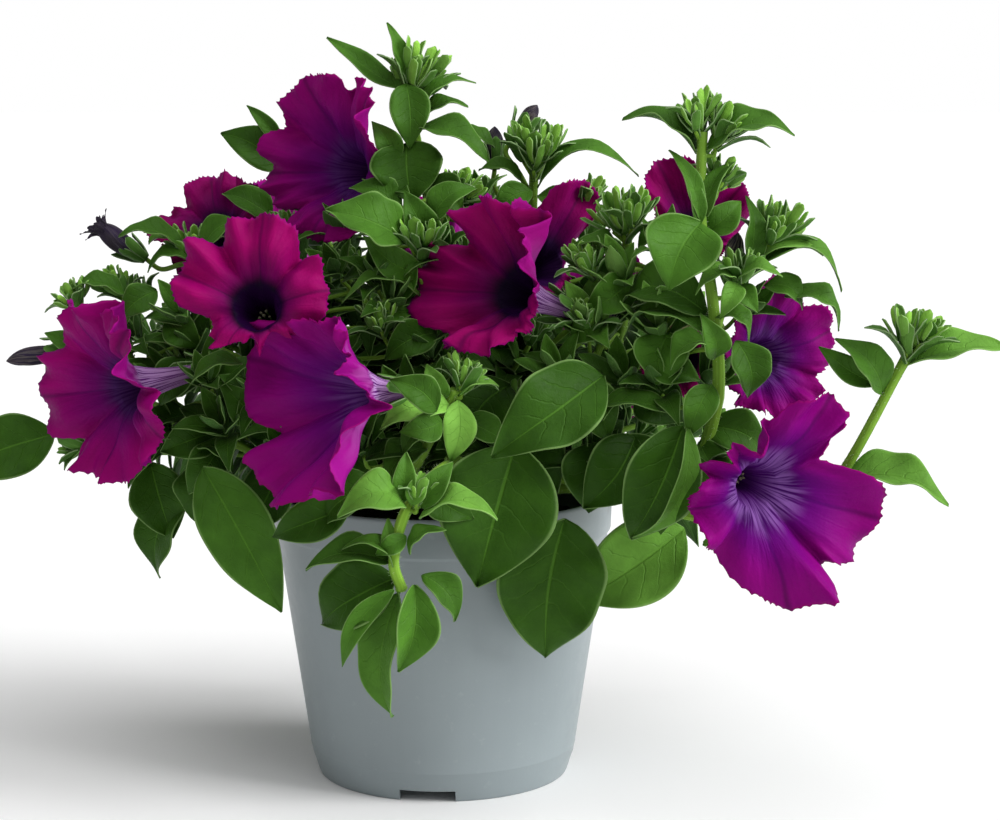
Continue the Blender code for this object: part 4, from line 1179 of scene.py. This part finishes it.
def tuft(sheets, root, direction, size, rng, rosettes, youth=(0.4, 1.0), stems=None):
    """A bunch of rosettes round a main one; size is the main blades' length in mm."""
    rosette(sheets, root, direction, size * 1.5, rng, 8, 52.0, (youth[0] - 0.1, youth[1] - 0.1), 0.38)
    side = direction.orthogonal().normalized()
    turn = rng.uniform(0.0, math.tau)
    for i in range(rosettes):
        out = Matrix.Rotation(turn + i * math.tau / rosettes + rng.uniform(-0.3, 0.3), 3, direction) @ side
        lean = math.radians(rng.uniform(12.0, 34.0))
        aim = direction * math.cos(lean) + out * math.sin(lean)
        place = root + (direction * rng.uniform(0.25, 0.8) + out * rng.uniform(0.15, 0.42)) * size * MM
        if stems is not None:
            tube(stems, [root, root.lerp(place, 0.5), place], (0.9, 0.7), 0.7, around=6)
        rosette(sheets, place, aim, size * rng.uniform(0.75, 1.05), rng, 6, 24.0, youth, 0.36)


print("blades turn by", round(math.degrees(GOLDEN_ANGLE), 1), "degrees each")

# %% [markdown]
# Tufts and sprays are listed too, by a root and by a tip that gives the lean. Seven
# tufts end the frame's shoots, and the others stand between them.

# %% Where the tufts and sprays are
TUFTS = [
    # name, root, tip, blade length in mm, rosettes
    ("top_left", (-12, 256, -16), (-3, 280, -16), 14.0, 6),
    ("top_middle", (35, 228, 1), (38, 256, 0), 13.5, 7),
    ("right_middle", (70, 204, -37), (68, 228, -40), 13.0, 6),
    ("right_tall", (97, 243, -72), (95, 264, -72), 11.0, 3),
    ("right_low", (177, 158, -96), (182, 178, -98), 13.0, 4),
    ("right_side", (122, 200, -62), (131, 220, -62), 12.5, 6),
    ("left", (-91, 194, 3), (-98, 213, 2), 11.0, 5),
]
EXTRA_TUFTS = [
    ((103, 239, -70), (111, 259, -70), 11.0, 3), ((-8, 196, -42), (-10, 222, -44), 12.0, 5),
    ((-137, 178, -5), (-143, 190, -6), 8.5, 3), ((-120, 182, 4), (-127, 195, 4), 8.0, 3),
    ((7, 146, -74), (10, 160, -72), 9.0, 4), ((-10, 102, -106), (-6, 122, -104), 8.0, 3),
    ((4, 218, -20), (10, 232, -22), 10.0, 4), ((58, 190, -46), (52, 206, -48), 10.0, 3),
    ((52, 214, -12), (58, 232, -12), 9.5, 4), ((-88, 176, -20), (-94, 192, -22), 9.0, 4),
    ((-22, 168, -48), (-26, 184, -52), 9.0, 4), ((86, 176, -58), (84, 194, -60), 10.0, 4),
    ((56, 168, -50), (54, 184, -54), 10.0, 4), ((112, 186, -72), (114, 204, -70), 10.0, 4),
    ((104, 224, -66), (110, 240, -62), 8.0, 3),
]
SPRAYS = [
    # root, tip, blade length in mm, blades, youth of the outer and the inner blades
    ((60, 168, -44), (52, 184, -58), 24.0, 8, 0.4, 0.75),
    ((84, 166, -58), (78, 186, -66), 22.0, 7, 0.45, 0.75),
    ((70, 184, -44), (66, 200, -52), 22.0, 8, 0.45, 0.75),
    ((88, 196, -50), (84, 214, -52), 20.0, 7, 0.4, 0.7),
    ((46, 150, -52), (40, 166, -64), 22.0, 7, 0.3, 0.6),
    ((70, 148, -46), (66, 162, -60), 24.0, 7, 0.25, 0.55),
    ((-4, 158, -44), (-8, 176, -52), 20.0, 8, 0.12, 0.4),
    ((-24, 186, -38), (-26, 198, -46), 19.0, 7, 0.12, 0.4),
    ((-38, 190, -24), (-44, 200, -34), 19.0, 7, 0.1, 0.35),
    ((2, 196, -36), (-2, 210, -44), 19.0, 7, 0.25, 0.5),
    ((-96, 172, -24), (-104, 186, -30), 19.0, 7, 0.15, 0.4),
    ((-88, 148, -34), (-92, 160, -44), 20.0, 7, 0.1, 0.35),
    ((-82, 130, -34), (-88, 140, -46), 22.0, 8, 0.08, 0.3),
    ((-56, 120, -48), (-62, 128, -58), 22.0, 8, 0.06, 0.25),
    ((-30, 122, -58), (-34, 130, -66), 20.0, 7, 0.08, 0.3),
    ((-114, 166, 0), (-126, 178, -6), 18.0, 7, 0.2, 0.45),
    ((20, 122, -44), (22, 136, -56), 24.0, 7, 0.04, 0.2),
    ((56, 116, -40), (60, 128, -52), 24.0, 8, 0.04, 0.2),
    ((80, 118, -36), (92, 120, -50), 24.0, 8, 0.06, 0.25),
    ((2, 122, -58), (6, 134, -66), 18.0, 7, 0.08, 0.3),
    ((112, 176, -56), (122, 186, -62), 17.0, 7, 0.3, 0.5),
    ((-16, 220, -24), (-22, 234, -28), 17.0, 7, 0.2, 0.4),
    ((16, 214, -14), (10, 228, -18), 18.0, 7, 0.25, 0.45),
    ((-44, 158, -40), (-36, 170, -50), 18.0, 7, 0.12, 0.35),
    ((-100, 150, -8), (-110, 158, -18), 22.0, 8, 0.14, 0.4),
    ((-92, 160, -14), (-98, 172, -24), 22.0, 8, 0.2, 0.45),
    ((-66, 142, -32), (-72, 152, -44), 22.0, 8, 0.1, 0.35),
    ((-118, 142, -2), (-128, 150, -12), 18.0, 7, 0.14, 0.4),
    ((-104, 128, -4), (-112, 134, -16), 22.0, 8, 0.08, 0.3),
    ((-36, 204, -12), (-40, 216, -16), 18.0, 7, 0.16, 0.4),
    ((-52, 166, -14), (-56, 178, -20), 22.0, 8, 0.06, 0.3),
    ((-14, 140, -56), (-20, 152, -66), 20.0, 8, 0.14, 0.4),
    ((100, 146, -50), (106, 160, -56), 20.0, 8, 0.2, 0.45),
    ((-20, 178, -44), (-14, 192, -52), 18.0, 7, 0.2, 0.45),
    ((84, 146, -58), (80, 160, -68), 20.0, 7, 0.2, 0.45),
]
print("tufts listed:", len(TUFTS) + len(EXTRA_TUFTS), "sprays listed:", len(SPRAYS))

# %% [markdown]
# The sprays are one piece. Each main tuft is a piece that stands for the frame's shoot tip, the
# other tufts are joined, and so are the twigs inside all of them.

# %% Make the sprays and tufts
def place_and_aim(root, tip):
    """Where a shoot tip starts, and the way it points."""
    start = at(*root)
    return start, (at(*tip) - start).normalized()


def join_to_stem(root, direction):
    """Remember a thin stalk to root from the nearest place below it on any stem."""
    places = [(name, k) for name, path in STEM_PATHS.items() for k in range(len(path)) if path[k].z < root.z]
    name, k = min(places, key=lambda place: (STEM_PATHS[place[0]][place[1]] - root).length)
    add_stalk(name, k / (len(STEM_PATHS[name]) - 1), root, direction, 0.8, 0.5)


def make_sprays():
    sheets = Sheets()
    for i, (root, tip, size, count, old, young) in enumerate(SPRAYS):
        place, aim = place_and_aim(root, tip)
        join_to_stem(place, aim)
        rosette(sheets, place, aim, size, random.Random(350 + i), count, 66.0, (old, young), 0.44, oval)
    sheets.piece("leaf_sprays", LEAF_SIDES, 0.35, "leaf")
    print("sprays:", len(SPRAYS))


def make_tufts():
    twigs = Sheets()
    for i, (name, root, tip, size, rosettes) in enumerate(TUFTS):
        sheets = Sheets()
        tuft(sheets, *place_and_aim(root, tip), size, random.Random(200 + i), rosettes, stems=twigs)
        sheets.piece("tuft_" + name, (SEPAL,), 0.4, "young_leaf", ("shoot_tip_" + name,))
    sheets = Sheets()
    for i, (root, tip, size, rosettes) in enumerate(EXTRA_TUFTS):
        place, aim = place_and_aim(root, tip)
        join_to_stem(place, aim)
        tuft(sheets, place, aim, size, random.Random(240 + i), rosettes, stems=twigs)
    sheets.piece("tufts_between", (SEPAL,), 0.4, "young_leaf")
    twigs.piece("tuft_twigs", (STEM,), 0.0, "stem")
    print("tufts:", len(TUFTS) + len(EXTRA_TUFTS))


make_sprays()
make_tufts()

# %% [markdown]
# ## Buds
# A closed petunia bud is a twisted spindle of dark violet petals in its ring of sepals. The
# spindle is a turned form with five soft flutes that wind round it once, drawn row by row like
# everything else. The half open one on the left has a ragged star of petal tips at its end.

# %% Buds
BUDS = [
    # name, stem and share, root, tip, greatest radius, stripes, ragged end
    ("bud_far_left", "stem_left_upper", 1.0, (-112, 198, 14), (-131, 211, 12), 5.0, 0.1, True),
    ("bud_left", "stem_left_long", 0.75, (-140, 164, 2), (-166, 159, -2), 4.3, 0.3, False),
    ("bud_right", "stem_right_tall", 0.62, (109, 188, -58), (112, 208, -60), 4.2, 0.8, False),
    ("bud_middle", "stem_right_middle", 0.75, (60, 166, -46), (64, 182, -48), 4.0, 0.7, False),
    ("bud_top", "stem_top_middle", 0.75, (20, 232, 14), (20, 248, 16), 4.0, 0.3, False),
    ("bud_top_right", "stem_top_middle", 0.9, (28, 244, 10), (36, 256, 10), 3.8, 0.3, False),
]


BUD_ROWS = 18
BUD_AROUND = 40


def bud_grid(root, tip, radius, rng):
    """Rings of points from a bud's foot to its tip."""
    side, other = square_to((tip - root).normalized())
    turn = rng.uniform(0.0, math.tau)
    rows = []
    for r in range(BUD_ROWS + 1):
        t = r / BUD_ROWS
        size = radius * max(0.04, (0.34 + 0.9 * t ** 0.9) * (1.0 - t ** 3.2) ** 0.8)
        ring = []
        for k in range(BUD_AROUND):
            angle = math.tau * k / BUD_AROUND
            fold = 1.0 + 0.16 * math.cos(5.0 * angle) * min(1.0, 3.0 * t)
            a = angle + turn + 1.6 * t
            ring.append(root.lerp(tip, t) + (side * math.cos(a) + other * math.sin(a)) * size * fold * MM)
        rows.append(ring)
    return rows


def make_buds():
    sepals = Sheets()
    for i, (name, stem, share, root, tip, radius, stripes, ragged) in enumerate(BUDS):
        rng = random.Random(300 + i)
        root, tip = at(*root), at(*tip)
        aim = (tip - root).normalized()
        sheets = Sheets()
        sheets.grid(bud_grid(root, tip, radius, rng), stripes, closed=True)
        if ragged:
            side = aim.orthogonal().normalized()
            for k in range(9):
                out = Matrix.Rotation(math.tau * k / 9 + 0.3, 3, aim) @ side
                base = tip - aim * 6.0 * MM + out * 1.5 * MM
                end = base + (aim * rng.uniform(0.5, 1.0) + out * rng.uniform(0.4, 0.9)) * 9.0 * MM
                leaf(sheets, base, end, 4.2, stripes, aim, 0.1, 0.4, oval, 0.2,
                     seed=rng.randrange(BLADE_SEEDS))
        stands_for = (name,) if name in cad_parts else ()
        sheets.piece(name + "_petals", (BUD,), 0.0, "bud", stands_for)
        ring_of_sepals(sepals, root, aim, 12.0, 4.2, 17.0, 0.5, rng)
        add_stalk(stem, share, root, aim)
    sepals.piece("bud_sepals", (SEPAL,), 0.4, "young_leaf")
    print("buds:", len(BUDS))


make_buds()

# %% [markdown]
# ## The bushy inside and back
# Behind the main shoots the plant is a dense mound, and it has to look right from every side.
# Scattering loose leaves would fill it, but leaves that belong to a shoot look truer: here
# more shoots rise from the crown to a rounded outline, each with leaves in a spiral, small and
# fresh towards its end, and a tuft on top. The random draws are seeded, so the mound is the
# same each time.

# %% Filler shoots
RIM_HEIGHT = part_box("pot")[1][2]
RIM_RADIUS = 0.5 * (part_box("pot")[1][0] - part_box("pot")[0][0])
CROWN_PLACE = Vector((0.0, 0.0, RIM_HEIGHT - 6.0 * MM))
FILLER_SHOOTS = 58
LEAVES_PER_SHOOT = 9
SHOOT_SAMPLES = 20


def inside_pot(point):
    return point.z < RIM_HEIGHT + 2.0 * MM and math.hypot(point.x, point.y) < RIM_RADIUS + 3.0 * MM


def filler_end(i, rng):
    """Where the shoot ends, in elevation millimetres, on a rounded outline over the pot."""
    round_angle = i * GOLDEN_ANGLE
    height = -0.14 + 1.1 * (i + 0.5) / FILLER_SHOOTS
    level = math.sqrt(max(0.0, 1.0 - min(height, 0.97) ** 2))
    size = rng.uniform(0.8, 0.98)
    depth = 36.0 - 78.0 * math.cos(round_angle) * level * size
    return (-12.0 + 126.0 * math.sin(round_angle) * level * size,
            132.0 + 92.0 * height * size, max(depth, -36.0))


def filler_shoot(blades, stems, tips, end, rng, youth, with_tuft):
    """A shoot from the crown to its end, with leaves in a spiral and perhaps a tuft."""
    start = CROWN_PLACE + Vector((rng.uniform(-8.0, 8.0), rng.uniform(-8.0, 8.0), 0.0)) * MM
    rise = max(end.z - start.z, 0.02)
    middle = start.lerp(end, 0.5)
    middle.z = max(start.z + 0.62 * rise, RIM_HEIGHT + 9.0 * MM)
    path = smooth_path([start, middle, end], SHOOT_SAMPLES)
    tube(stems, path, (1.7, 1.0), 0.3, around=7)
    turn = rng.uniform(0.0, math.tau)
    for i in range(LEAVES_PER_SHOOT):
        share = 0.3 + 0.68 * (i + 0.5) / LEAVES_PER_SHOOT
        k = int(share * SHOOT_SAMPLES)
        point = path[k]
        ahead = (path[min(k + 1, SHOOT_SAMPLES)] - path[k - 1]).normalized()
        out = Matrix.Rotation(turn + i * GOLDEN_ANGLE, 3, ahead) @ ahead.orthogonal().normalized()
        lean = math.radians(rng.uniform(50.0, 82.0))
        forward = (out * math.sin(lean) + ahead * math.cos(lean) + Vector((0.0, 0.0, -0.12))).normalized()
        facing = ahead * math.sin(lean) - out * math.cos(lean) + Vector((0.0, 0.0, 0.5))
        length = (38.0 - 16.0 * share) * rng.uniform(0.8, 1.15) * MM
        tip = point + forward * length
        if inside_pot(tip) or inside_pot(point.lerp(tip, 0.6)) or tip.y < -52.0 * MM:
            continue
        leaf(blades, point, tip, 1000.0 * length * rng.uniform(0.42, 0.54), youth + 0.26 * share * share,
             facing, rng.uniform(0.06, 0.22), 0.28, droop=0.15, rows=10, columns=6,
             seed=rng.randrange(BLADE_SEEDS))
    if with_tuft:
        ahead = (path[-1] - path[-2]).normalized()
        tuft(tips, end, (ahead + Vector((0.0, 0.0, 0.6))).normalized(), rng.uniform(8.5, 11.0), rng, 2,
             (0.32, 0.7))


SECTORS = ("left", "front", "right", "back_left", "back_right")


def sector_of(end):
    if end.y > 42.0 * MM:
        return "back_left" if end.x < 0.0 else "back_right"
    if end.x < -45.0 * MM:
        return "left"
    return "right" if end.x > 45.0 * MM else "front"


def make_filler():
    rng = random.Random(11)
    stems = Sheets()
    blades = {name: Sheets() for name in SECTORS}
    tips = {name: Sheets() for name in SECTORS}
    for i in range(FILLER_SHOOTS):
        end = at(*filler_end(i, rng))
        name = sector_of(end)
        filler_shoot(blades[name], stems, tips[name], end, rng, rng.uniform(0.02, 0.14), i % 5 != 0)
    for name in SECTORS:
        blades[name].piece("mound_leaves_" + name, LEAF_SIDES, 0.35, "leaf")
        tips[name].piece("mound_tufts_" + name, (SEPAL,), 0.4, "young_leaf")
    stems.piece("mound_stems", (STEM,), 0.0, "stem")
    print("filler shoots:", FILLER_SHOOTS)


make_filler()

# %% [markdown]
# ## Stems and their hairs
# Now that every stalk is known, each main stem is made with its side stalks as one piece that
# stands for the frame's stem. Then come the hairs that make a petunia sticky and soft: short
# pale cones, thousands of them, thrown round the stems at random and joined into one piece.

# %% Stems and hairs
STEM_YOUTH = {"stem_front_hanging": 0.85, "stem_right_tall": 0.55, "stem_right_low": 0.65}
HAIRS_PER_MM = 3.4
HAIR_RADIUS = 0.055


def hair_cone(points, faces, root, direction, length):
    side, other = square_to(direction)
    first = len(points)
    for k in range(3):
        angle = math.tau * k / 3
        points.append(root + (side * math.cos(angle) + other * math.sin(angle)) * HAIR_RADIUS * MM)
    points.append(root + direction * length * MM)
    faces.extend([(first + 2, first + 1, first), (first, first + 1, first + 3),
                  (first + 1, first + 2, first + 3), (first + 2, first, first + 3)])


def make_stems():
    rng = random.Random(5)
    hair_points, hair_faces = [], []
    for name, (_, thick, thin) in STEM_ROUTES.items():
        path = STEM_PATHS[name]
        youth = STEM_YOUTH.get(name, 0.4)
        sheets = Sheets()
        tube(sheets, path, (thick, thin), youth, around=20, knuckles=0.14)
        for stalk, radius, stalk_youth in STALKS[name]:
            tube(sheets, stalk, (radius * 1.1, radius * 0.9), stalk_youth, around=10)
        sheets.piece(name + "_stalks", (STEM,), 0.0, "stem", (name,))
        for i in range(len(path) - 1):
            ahead = path[i + 1] - path[i]
            for _ in range(int(ahead.length / MM * HAIRS_PER_MM)):
                share = (i + rng.random()) / (len(path) - 1)
                out = Matrix.Rotation(rng.uniform(0.0, math.tau), 3, ahead.normalized()) @ ahead.orthogonal()
                out.normalize()
                radius = (thick + (thin - thick) * share) * 0.95
                aim = (out + ahead.normalized() * rng.uniform(-0.5, 0.5)).normalized()
                root = path[i] + ahead * rng.random() + out * radius * MM
                hair_cone(hair_points, hair_faces, root, aim, rng.uniform(0.7, 1.5))
    mesh = bpy.data.meshes.new("stem_hairs")
    mesh.from_pydata(hair_points, [], hair_faces)
    mesh.materials.append(HAIR)
    settle(new_object("stem_hairs", mesh))
    print("stems:", len(STEM_ROUTES), "hairs:", len(hair_faces) // 4)


make_stems()

# %% [markdown]
# ## Pot
# A thin moulded pot with a drafted wall, a slightly prouder rim band above a step, a soft
# bead at the lip, a faint ring near the foot where the mould halves meet, and a foot ring cut
# by three notches so that water can drain. The wall is a profile swept round once; the
# notches and drain holes are cut with a Boolean, as one would drill them.

# %% Pot
POT_STEPS = 144
FOOT_OUTER = 47.8
FOOT_INNER = 45.4
WALL = 1.5
RIDGE_HEIGHT = 95.0
NOTCH_WIDTH = 21.0
NOTCH_HEIGHT = 4.4
NOTCH_ANGLES = (264.0, 24.0, 144.0)
DRAINS = 6
DRAIN_PLACE = 30.0
DRAIN_RADIUS = 4.0


def wall_radius(height):
    return 49.5 + 0.148 * height


def pot_profile():
    """(radius, height) in mm, from the middle of the underside, up outside, down inside."""
    rim, top = RIM_RADIUS / MM, RIM_HEIGHT / MM
    outside = [(wall_radius(h) + ring, h) for h, ring in
               ((8.0, -0.1), (10.9, 0.0), (11.25, 0.1), (11.6, 0.12), (11.9, 0.02), (30.0, 0.0),
                (55.0, 0.0), (80.0, 0.0), (RIDGE_HEIGHT - 0.7, 0.0), (RIDGE_HEIGHT - 0.2, 0.12))]
    lip = [(rim - 0.8, RIDGE_HEIGHT + 0.5), (rim - 0.66, RIDGE_HEIGHT + 1.0), (rim - 0.35, top - 6.0),
           (rim - 0.1, top - 2.2), (rim, top - 1.2), (rim - 0.1, top - 0.5), (rim - 0.5, top - 0.08),
           (rim - 0.9, top), (rim - 1.4, top - 0.1), (rim - 1.8, top - 0.5), (rim - 2.0, top - 1.1)]
    inside = [(rim - 2.3, top - 5.0), (wall_radius(RIDGE_HEIGHT) - WALL, RIDGE_HEIGHT),
              (wall_radius(50.0) - WALL, 50.0), (wall_radius(10.0) - WALL, 10.5), (44.4, 6.8), (0.0, 6.8)]
    foot = [(0.0, 5.0), (FOOT_INNER - 0.4, 5.0), (FOOT_INNER, 0.3), (FOOT_INNER + 0.3, 0.0),
            (FOOT_OUTER - 0.3, 0.0), (FOOT_OUTER + 0.1, 0.3), (FOOT_OUTER + 0.5, 1.2),
            (FOOT_OUTER + 1.3, 3.6), (FOOT_OUTER + 1.9, 5.6)]
    return foot + outside + lip + inside


def circle(radius, height, count):
    """A level ring of points; sizes in mm."""
    angles = (math.tau * k / count for k in range(count))
    return [Vector((radius * math.cos(a), radius * math.sin(a), height)) * MM for a in angles]


def cutter(shape, place):
    mesh = bpy.data.meshes.new("cut")
    shape.to_mesh(mesh)
    shape.free()
    piece = new_object("cut", mesh)
    piece.matrix_world = place
    return piece


def make_pot():
    sheets = Sheets()
    sheets.grid([circle(radius, height, POT_STEPS) for radius, height in pot_profile()], 0.5, closed=True)
    pot = sheets.piece("pot_shell", (POT,), 0.0, "pot", ("pot",))
    poles = bmesh.new()
    poles.from_mesh(pot.data)
    bmesh.ops.remove_doubles(poles, verts=poles.verts, dist=0.01 * MM)
    poles.to_mesh(pot.data)
    poles.free()
    cutters = []
    for angle in NOTCH_ANGLES:
        block = bmesh.new()
        bmesh.ops.create_cube(block, size=1.0)
        bmesh.ops.scale(block, vec=Vector((14.0, NOTCH_WIDTH, NOTCH_HEIGHT * 2.0)) * MM, verts=block.verts)
        place = Matrix.Rotation(math.radians(angle), 4, "Z") @ Matrix.Translation((FOOT_OUTER * MM, 0, 0))
        cutters.append(cutter(block, place))
    for i in range(DRAINS):
        drill = bmesh.new()
        bmesh.ops.create_cone(drill, cap_ends=True, segments=32, radius1=DRAIN_RADIUS * MM,
                              radius2=DRAIN_RADIUS * MM, depth=12.0 * MM)
        angle = math.tau * (i + 0.5) / DRAINS
        cutters.append(cutter(drill, Matrix.Translation((DRAIN_PLACE * math.cos(angle) * MM,
                                                         DRAIN_PLACE * math.sin(angle) * MM, 6.0 * MM))))
    for piece in cutters:
        cut = pot.modifiers.new("cut", "BOOLEAN")
        cut.operation = "DIFFERENCE"
        cut.solver = "EXACT"
        cut.object = piece
    shape = bpy.data.meshes.new_from_object(pot.evaluated_get(bpy.context.evaluated_depsgraph_get()))
    pot.modifiers.clear()
    pot.data = shape
    for piece in cutters:
        bpy.data.objects.remove(piece)
    shape.set_sharp_from_angle(angle=math.radians(38.0))
    print("pot faces:", len(shape.polygons))


bpy.context.view_layer.update()
make_pot()

# %% [markdown]
# ## Compost and crown
# The compost is a rough, low dome with crumbs lying on it, and the crown is the knobbly base
# where all the stems leave it. Both are mostly hidden, but they show from above. The dome is a
# polar grid lifted by noise, and the crumbs are small lumps pressed out of round.

# %% Compost and crown
COMPOST_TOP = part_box("compost")[1][2]
COMPOST_RADIUS = 60.6
COMPOST_STEPS = 72
COMPOST_RINGS = 30
CRUMBS = 420
CRUMB_SQUASH = 0.7


def lump(sheets, centre, radius, rng):
    """A small uneven lump, wrapped from bottom to top."""
    seed = Vector((rng.uniform(0, 50), rng.uniform(0, 50), rng.uniform(0, 50)))
    rings = []
    for r in range(7):
        tilt = math.pi * r / 6
        level = math.sin(tilt)
        ring = []
        for k in range(9):
            a = math.tau * k / 9
            out = Vector((math.cos(a) * level, math.sin(a) * level, -math.cos(tilt) * CRUMB_SQUASH))
            ring.append(centre + out * radius * (0.8 + 0.5 * noise.noise(out * 1.6 + seed)) * MM)
        rings.append(ring)
    sheets.grid(rings, 0.5, closed=True)


def compost_height(x, y):
    far = math.hypot(x, y) / COMPOST_RADIUS
    rough = noise.noise(Vector((x, y, 0.0)) * 0.16) * 1.3 + noise.noise(Vector((x, y, 3.0)) * 0.5) * 0.5
    return COMPOST_TOP / MM - 1.6 - 2.6 * far * far + rough


def make_compost():
    rng = random.Random(8)
    sheets = Sheets()
    radii = [0.05] + [COMPOST_RADIUS * i / COMPOST_RINGS for i in range(1, COMPOST_RINGS + 1)]
    below = ((radii[0], 8.0), (44.0, 8.0), (COMPOST_RADIUS - 4.0, 60.0))
    rings = [circle(radius, floor, COMPOST_STEPS) for radius, floor in below]
    for radius in reversed(radii):
        ring = []
        for k in range(COMPOST_STEPS):
            a = math.tau * k / COMPOST_STEPS
            x, y = radius * math.cos(a), radius * math.sin(a)
            ring.append(Vector((x, y, compost_height(x, y))) * MM)
        rings.append(ring)
    sheets.grid(rings, 0.5, closed=True)
    for _ in range(CRUMBS):
        angle, far = rng.uniform(0.0, math.tau), math.sqrt(rng.uniform(0.02, 0.93)) * COMPOST_RADIUS
        x, y = far * math.cos(angle), far * math.sin(angle)
        lump(sheets, Vector((x, y, compost_height(x, y))) * MM, rng.uniform(0.5, 1.7), rng)
    sheets.piece("compost_fill", (COMPOST,), 0.0, "compost", ("compost",))
    crown = Sheets()
    low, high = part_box("root_crown")
    foot = Vector(((low[0] + high[0]) / 2, (low[1] + high[1]) / 2, low[2]))
    top = Vector((foot.x, foot.y, high[2]))
    path = smooth_path([foot, foot.lerp(top, 0.5), top], 12)
    tube(crown, path, (6.6, 4.2), 0.0, around=30, ribs=0.16)
    crown.piece("crown_knob", (STEM,), 0.0, "crown", ("root_crown",))
    print("compost and crown made")


make_compost()

# %% [markdown]
# ## Floor, light and camera
# The plant stands on a plain pale floor in an even white room. A broad sun comes low from the
# right, which leaves the left of the pot and the heart of the mound dark, and a wider one from
# above in front lifts the upper leaves. The room's own light is dim, but the camera sees it as
# full white, so that the background stays clean. The camera looks slightly down, with a long lens.

# %% Stage
FLOOR_HALF = 6.0
LENS_LENGTH = 95.4
LENS_TILT = 8.8


def make_floor():
    size = FLOOR_HALF
    mesh = bpy.data.meshes.new("floor")
    mesh.from_pydata([(-size, -size, 0.0), (size, -size, 0.0), (size, size, 0.0), (-size, size, 0.0)], [],
                     [(0, 1, 2, 3)])
    material = bpy.data.materials.new("floor_pale")
    material.use_nodes = True
    shader = material.node_tree.nodes["Principled BSDF"]
    shader.inputs["Base Color"].default_value = (0.93, 0.93, 0.93, 1.0)
    shader.inputs["Roughness"].default_value = 0.9
    shader.inputs["Specular IOR Level"].default_value = 0.1
    mesh.materials.append(material)
    new_object("floor", mesh)


def add_sun(name, towards, energy, spread):
    lamp = bpy.data.lights.new(name, "SUN")
    lamp.energy = energy
    lamp.angle = math.radians(spread)
    sun = new_object(name, lamp)
    sun.rotation_euler = Vector(towards).to_track_quat("Z", "Y").to_euler()


def make_light():
    world = bpy.data.worlds.new("white_room")
    world.use_nodes = True
    tree = world.node_tree
    room = tree.nodes["Background"]
    room.inputs["Color"].default_value = (1.0, 1.0, 1.0, 1.0)
    room.inputs["Strength"].default_value = 0.33
    backdrop = tree.nodes.new("ShaderNodeBackground")
    backdrop.inputs["Color"].default_value = (1.0, 1.0, 1.0, 1.0)
    chooser = tree.nodes.new("ShaderNodeMixShader")
    tree.links.new(tree.nodes.new("ShaderNodeLightPath").outputs["Is Camera Ray"], chooser.inputs["Fac"])
    tree.links.new(room.outputs["Background"], chooser.inputs[1])
    tree.links.new(backdrop.outputs["Background"], chooser.inputs[2])
    tree.links.new(chooser.outputs["Shader"], tree.nodes["World Output"].inputs["Surface"])
    bpy.context.scene.world = world
    add_sun("key_from_the_right", (1.0, -0.3, 0.5), 3.3, 34.0)
    add_sun("top_light", (0.15, -0.5, 1.3), 1.4, 60.0)


def make_camera():
    lens = bpy.data.cameras.new("camera")
    lens.sensor_width = 36.0
    lens.lens = LENS_LENGTH
    camera = new_object("camera", lens)
    camera.location = EYE * MM
    camera.rotation_euler = (math.radians(90.0 - LENS_TILT), 0.0, 0.0)
    bpy.context.scene.camera = camera
    bpy.context.scene.view_settings.view_transform = "Standard"


make_floor()
make_light()
make_camera()
print("stage ready")

# %% [markdown]
# ## Finish
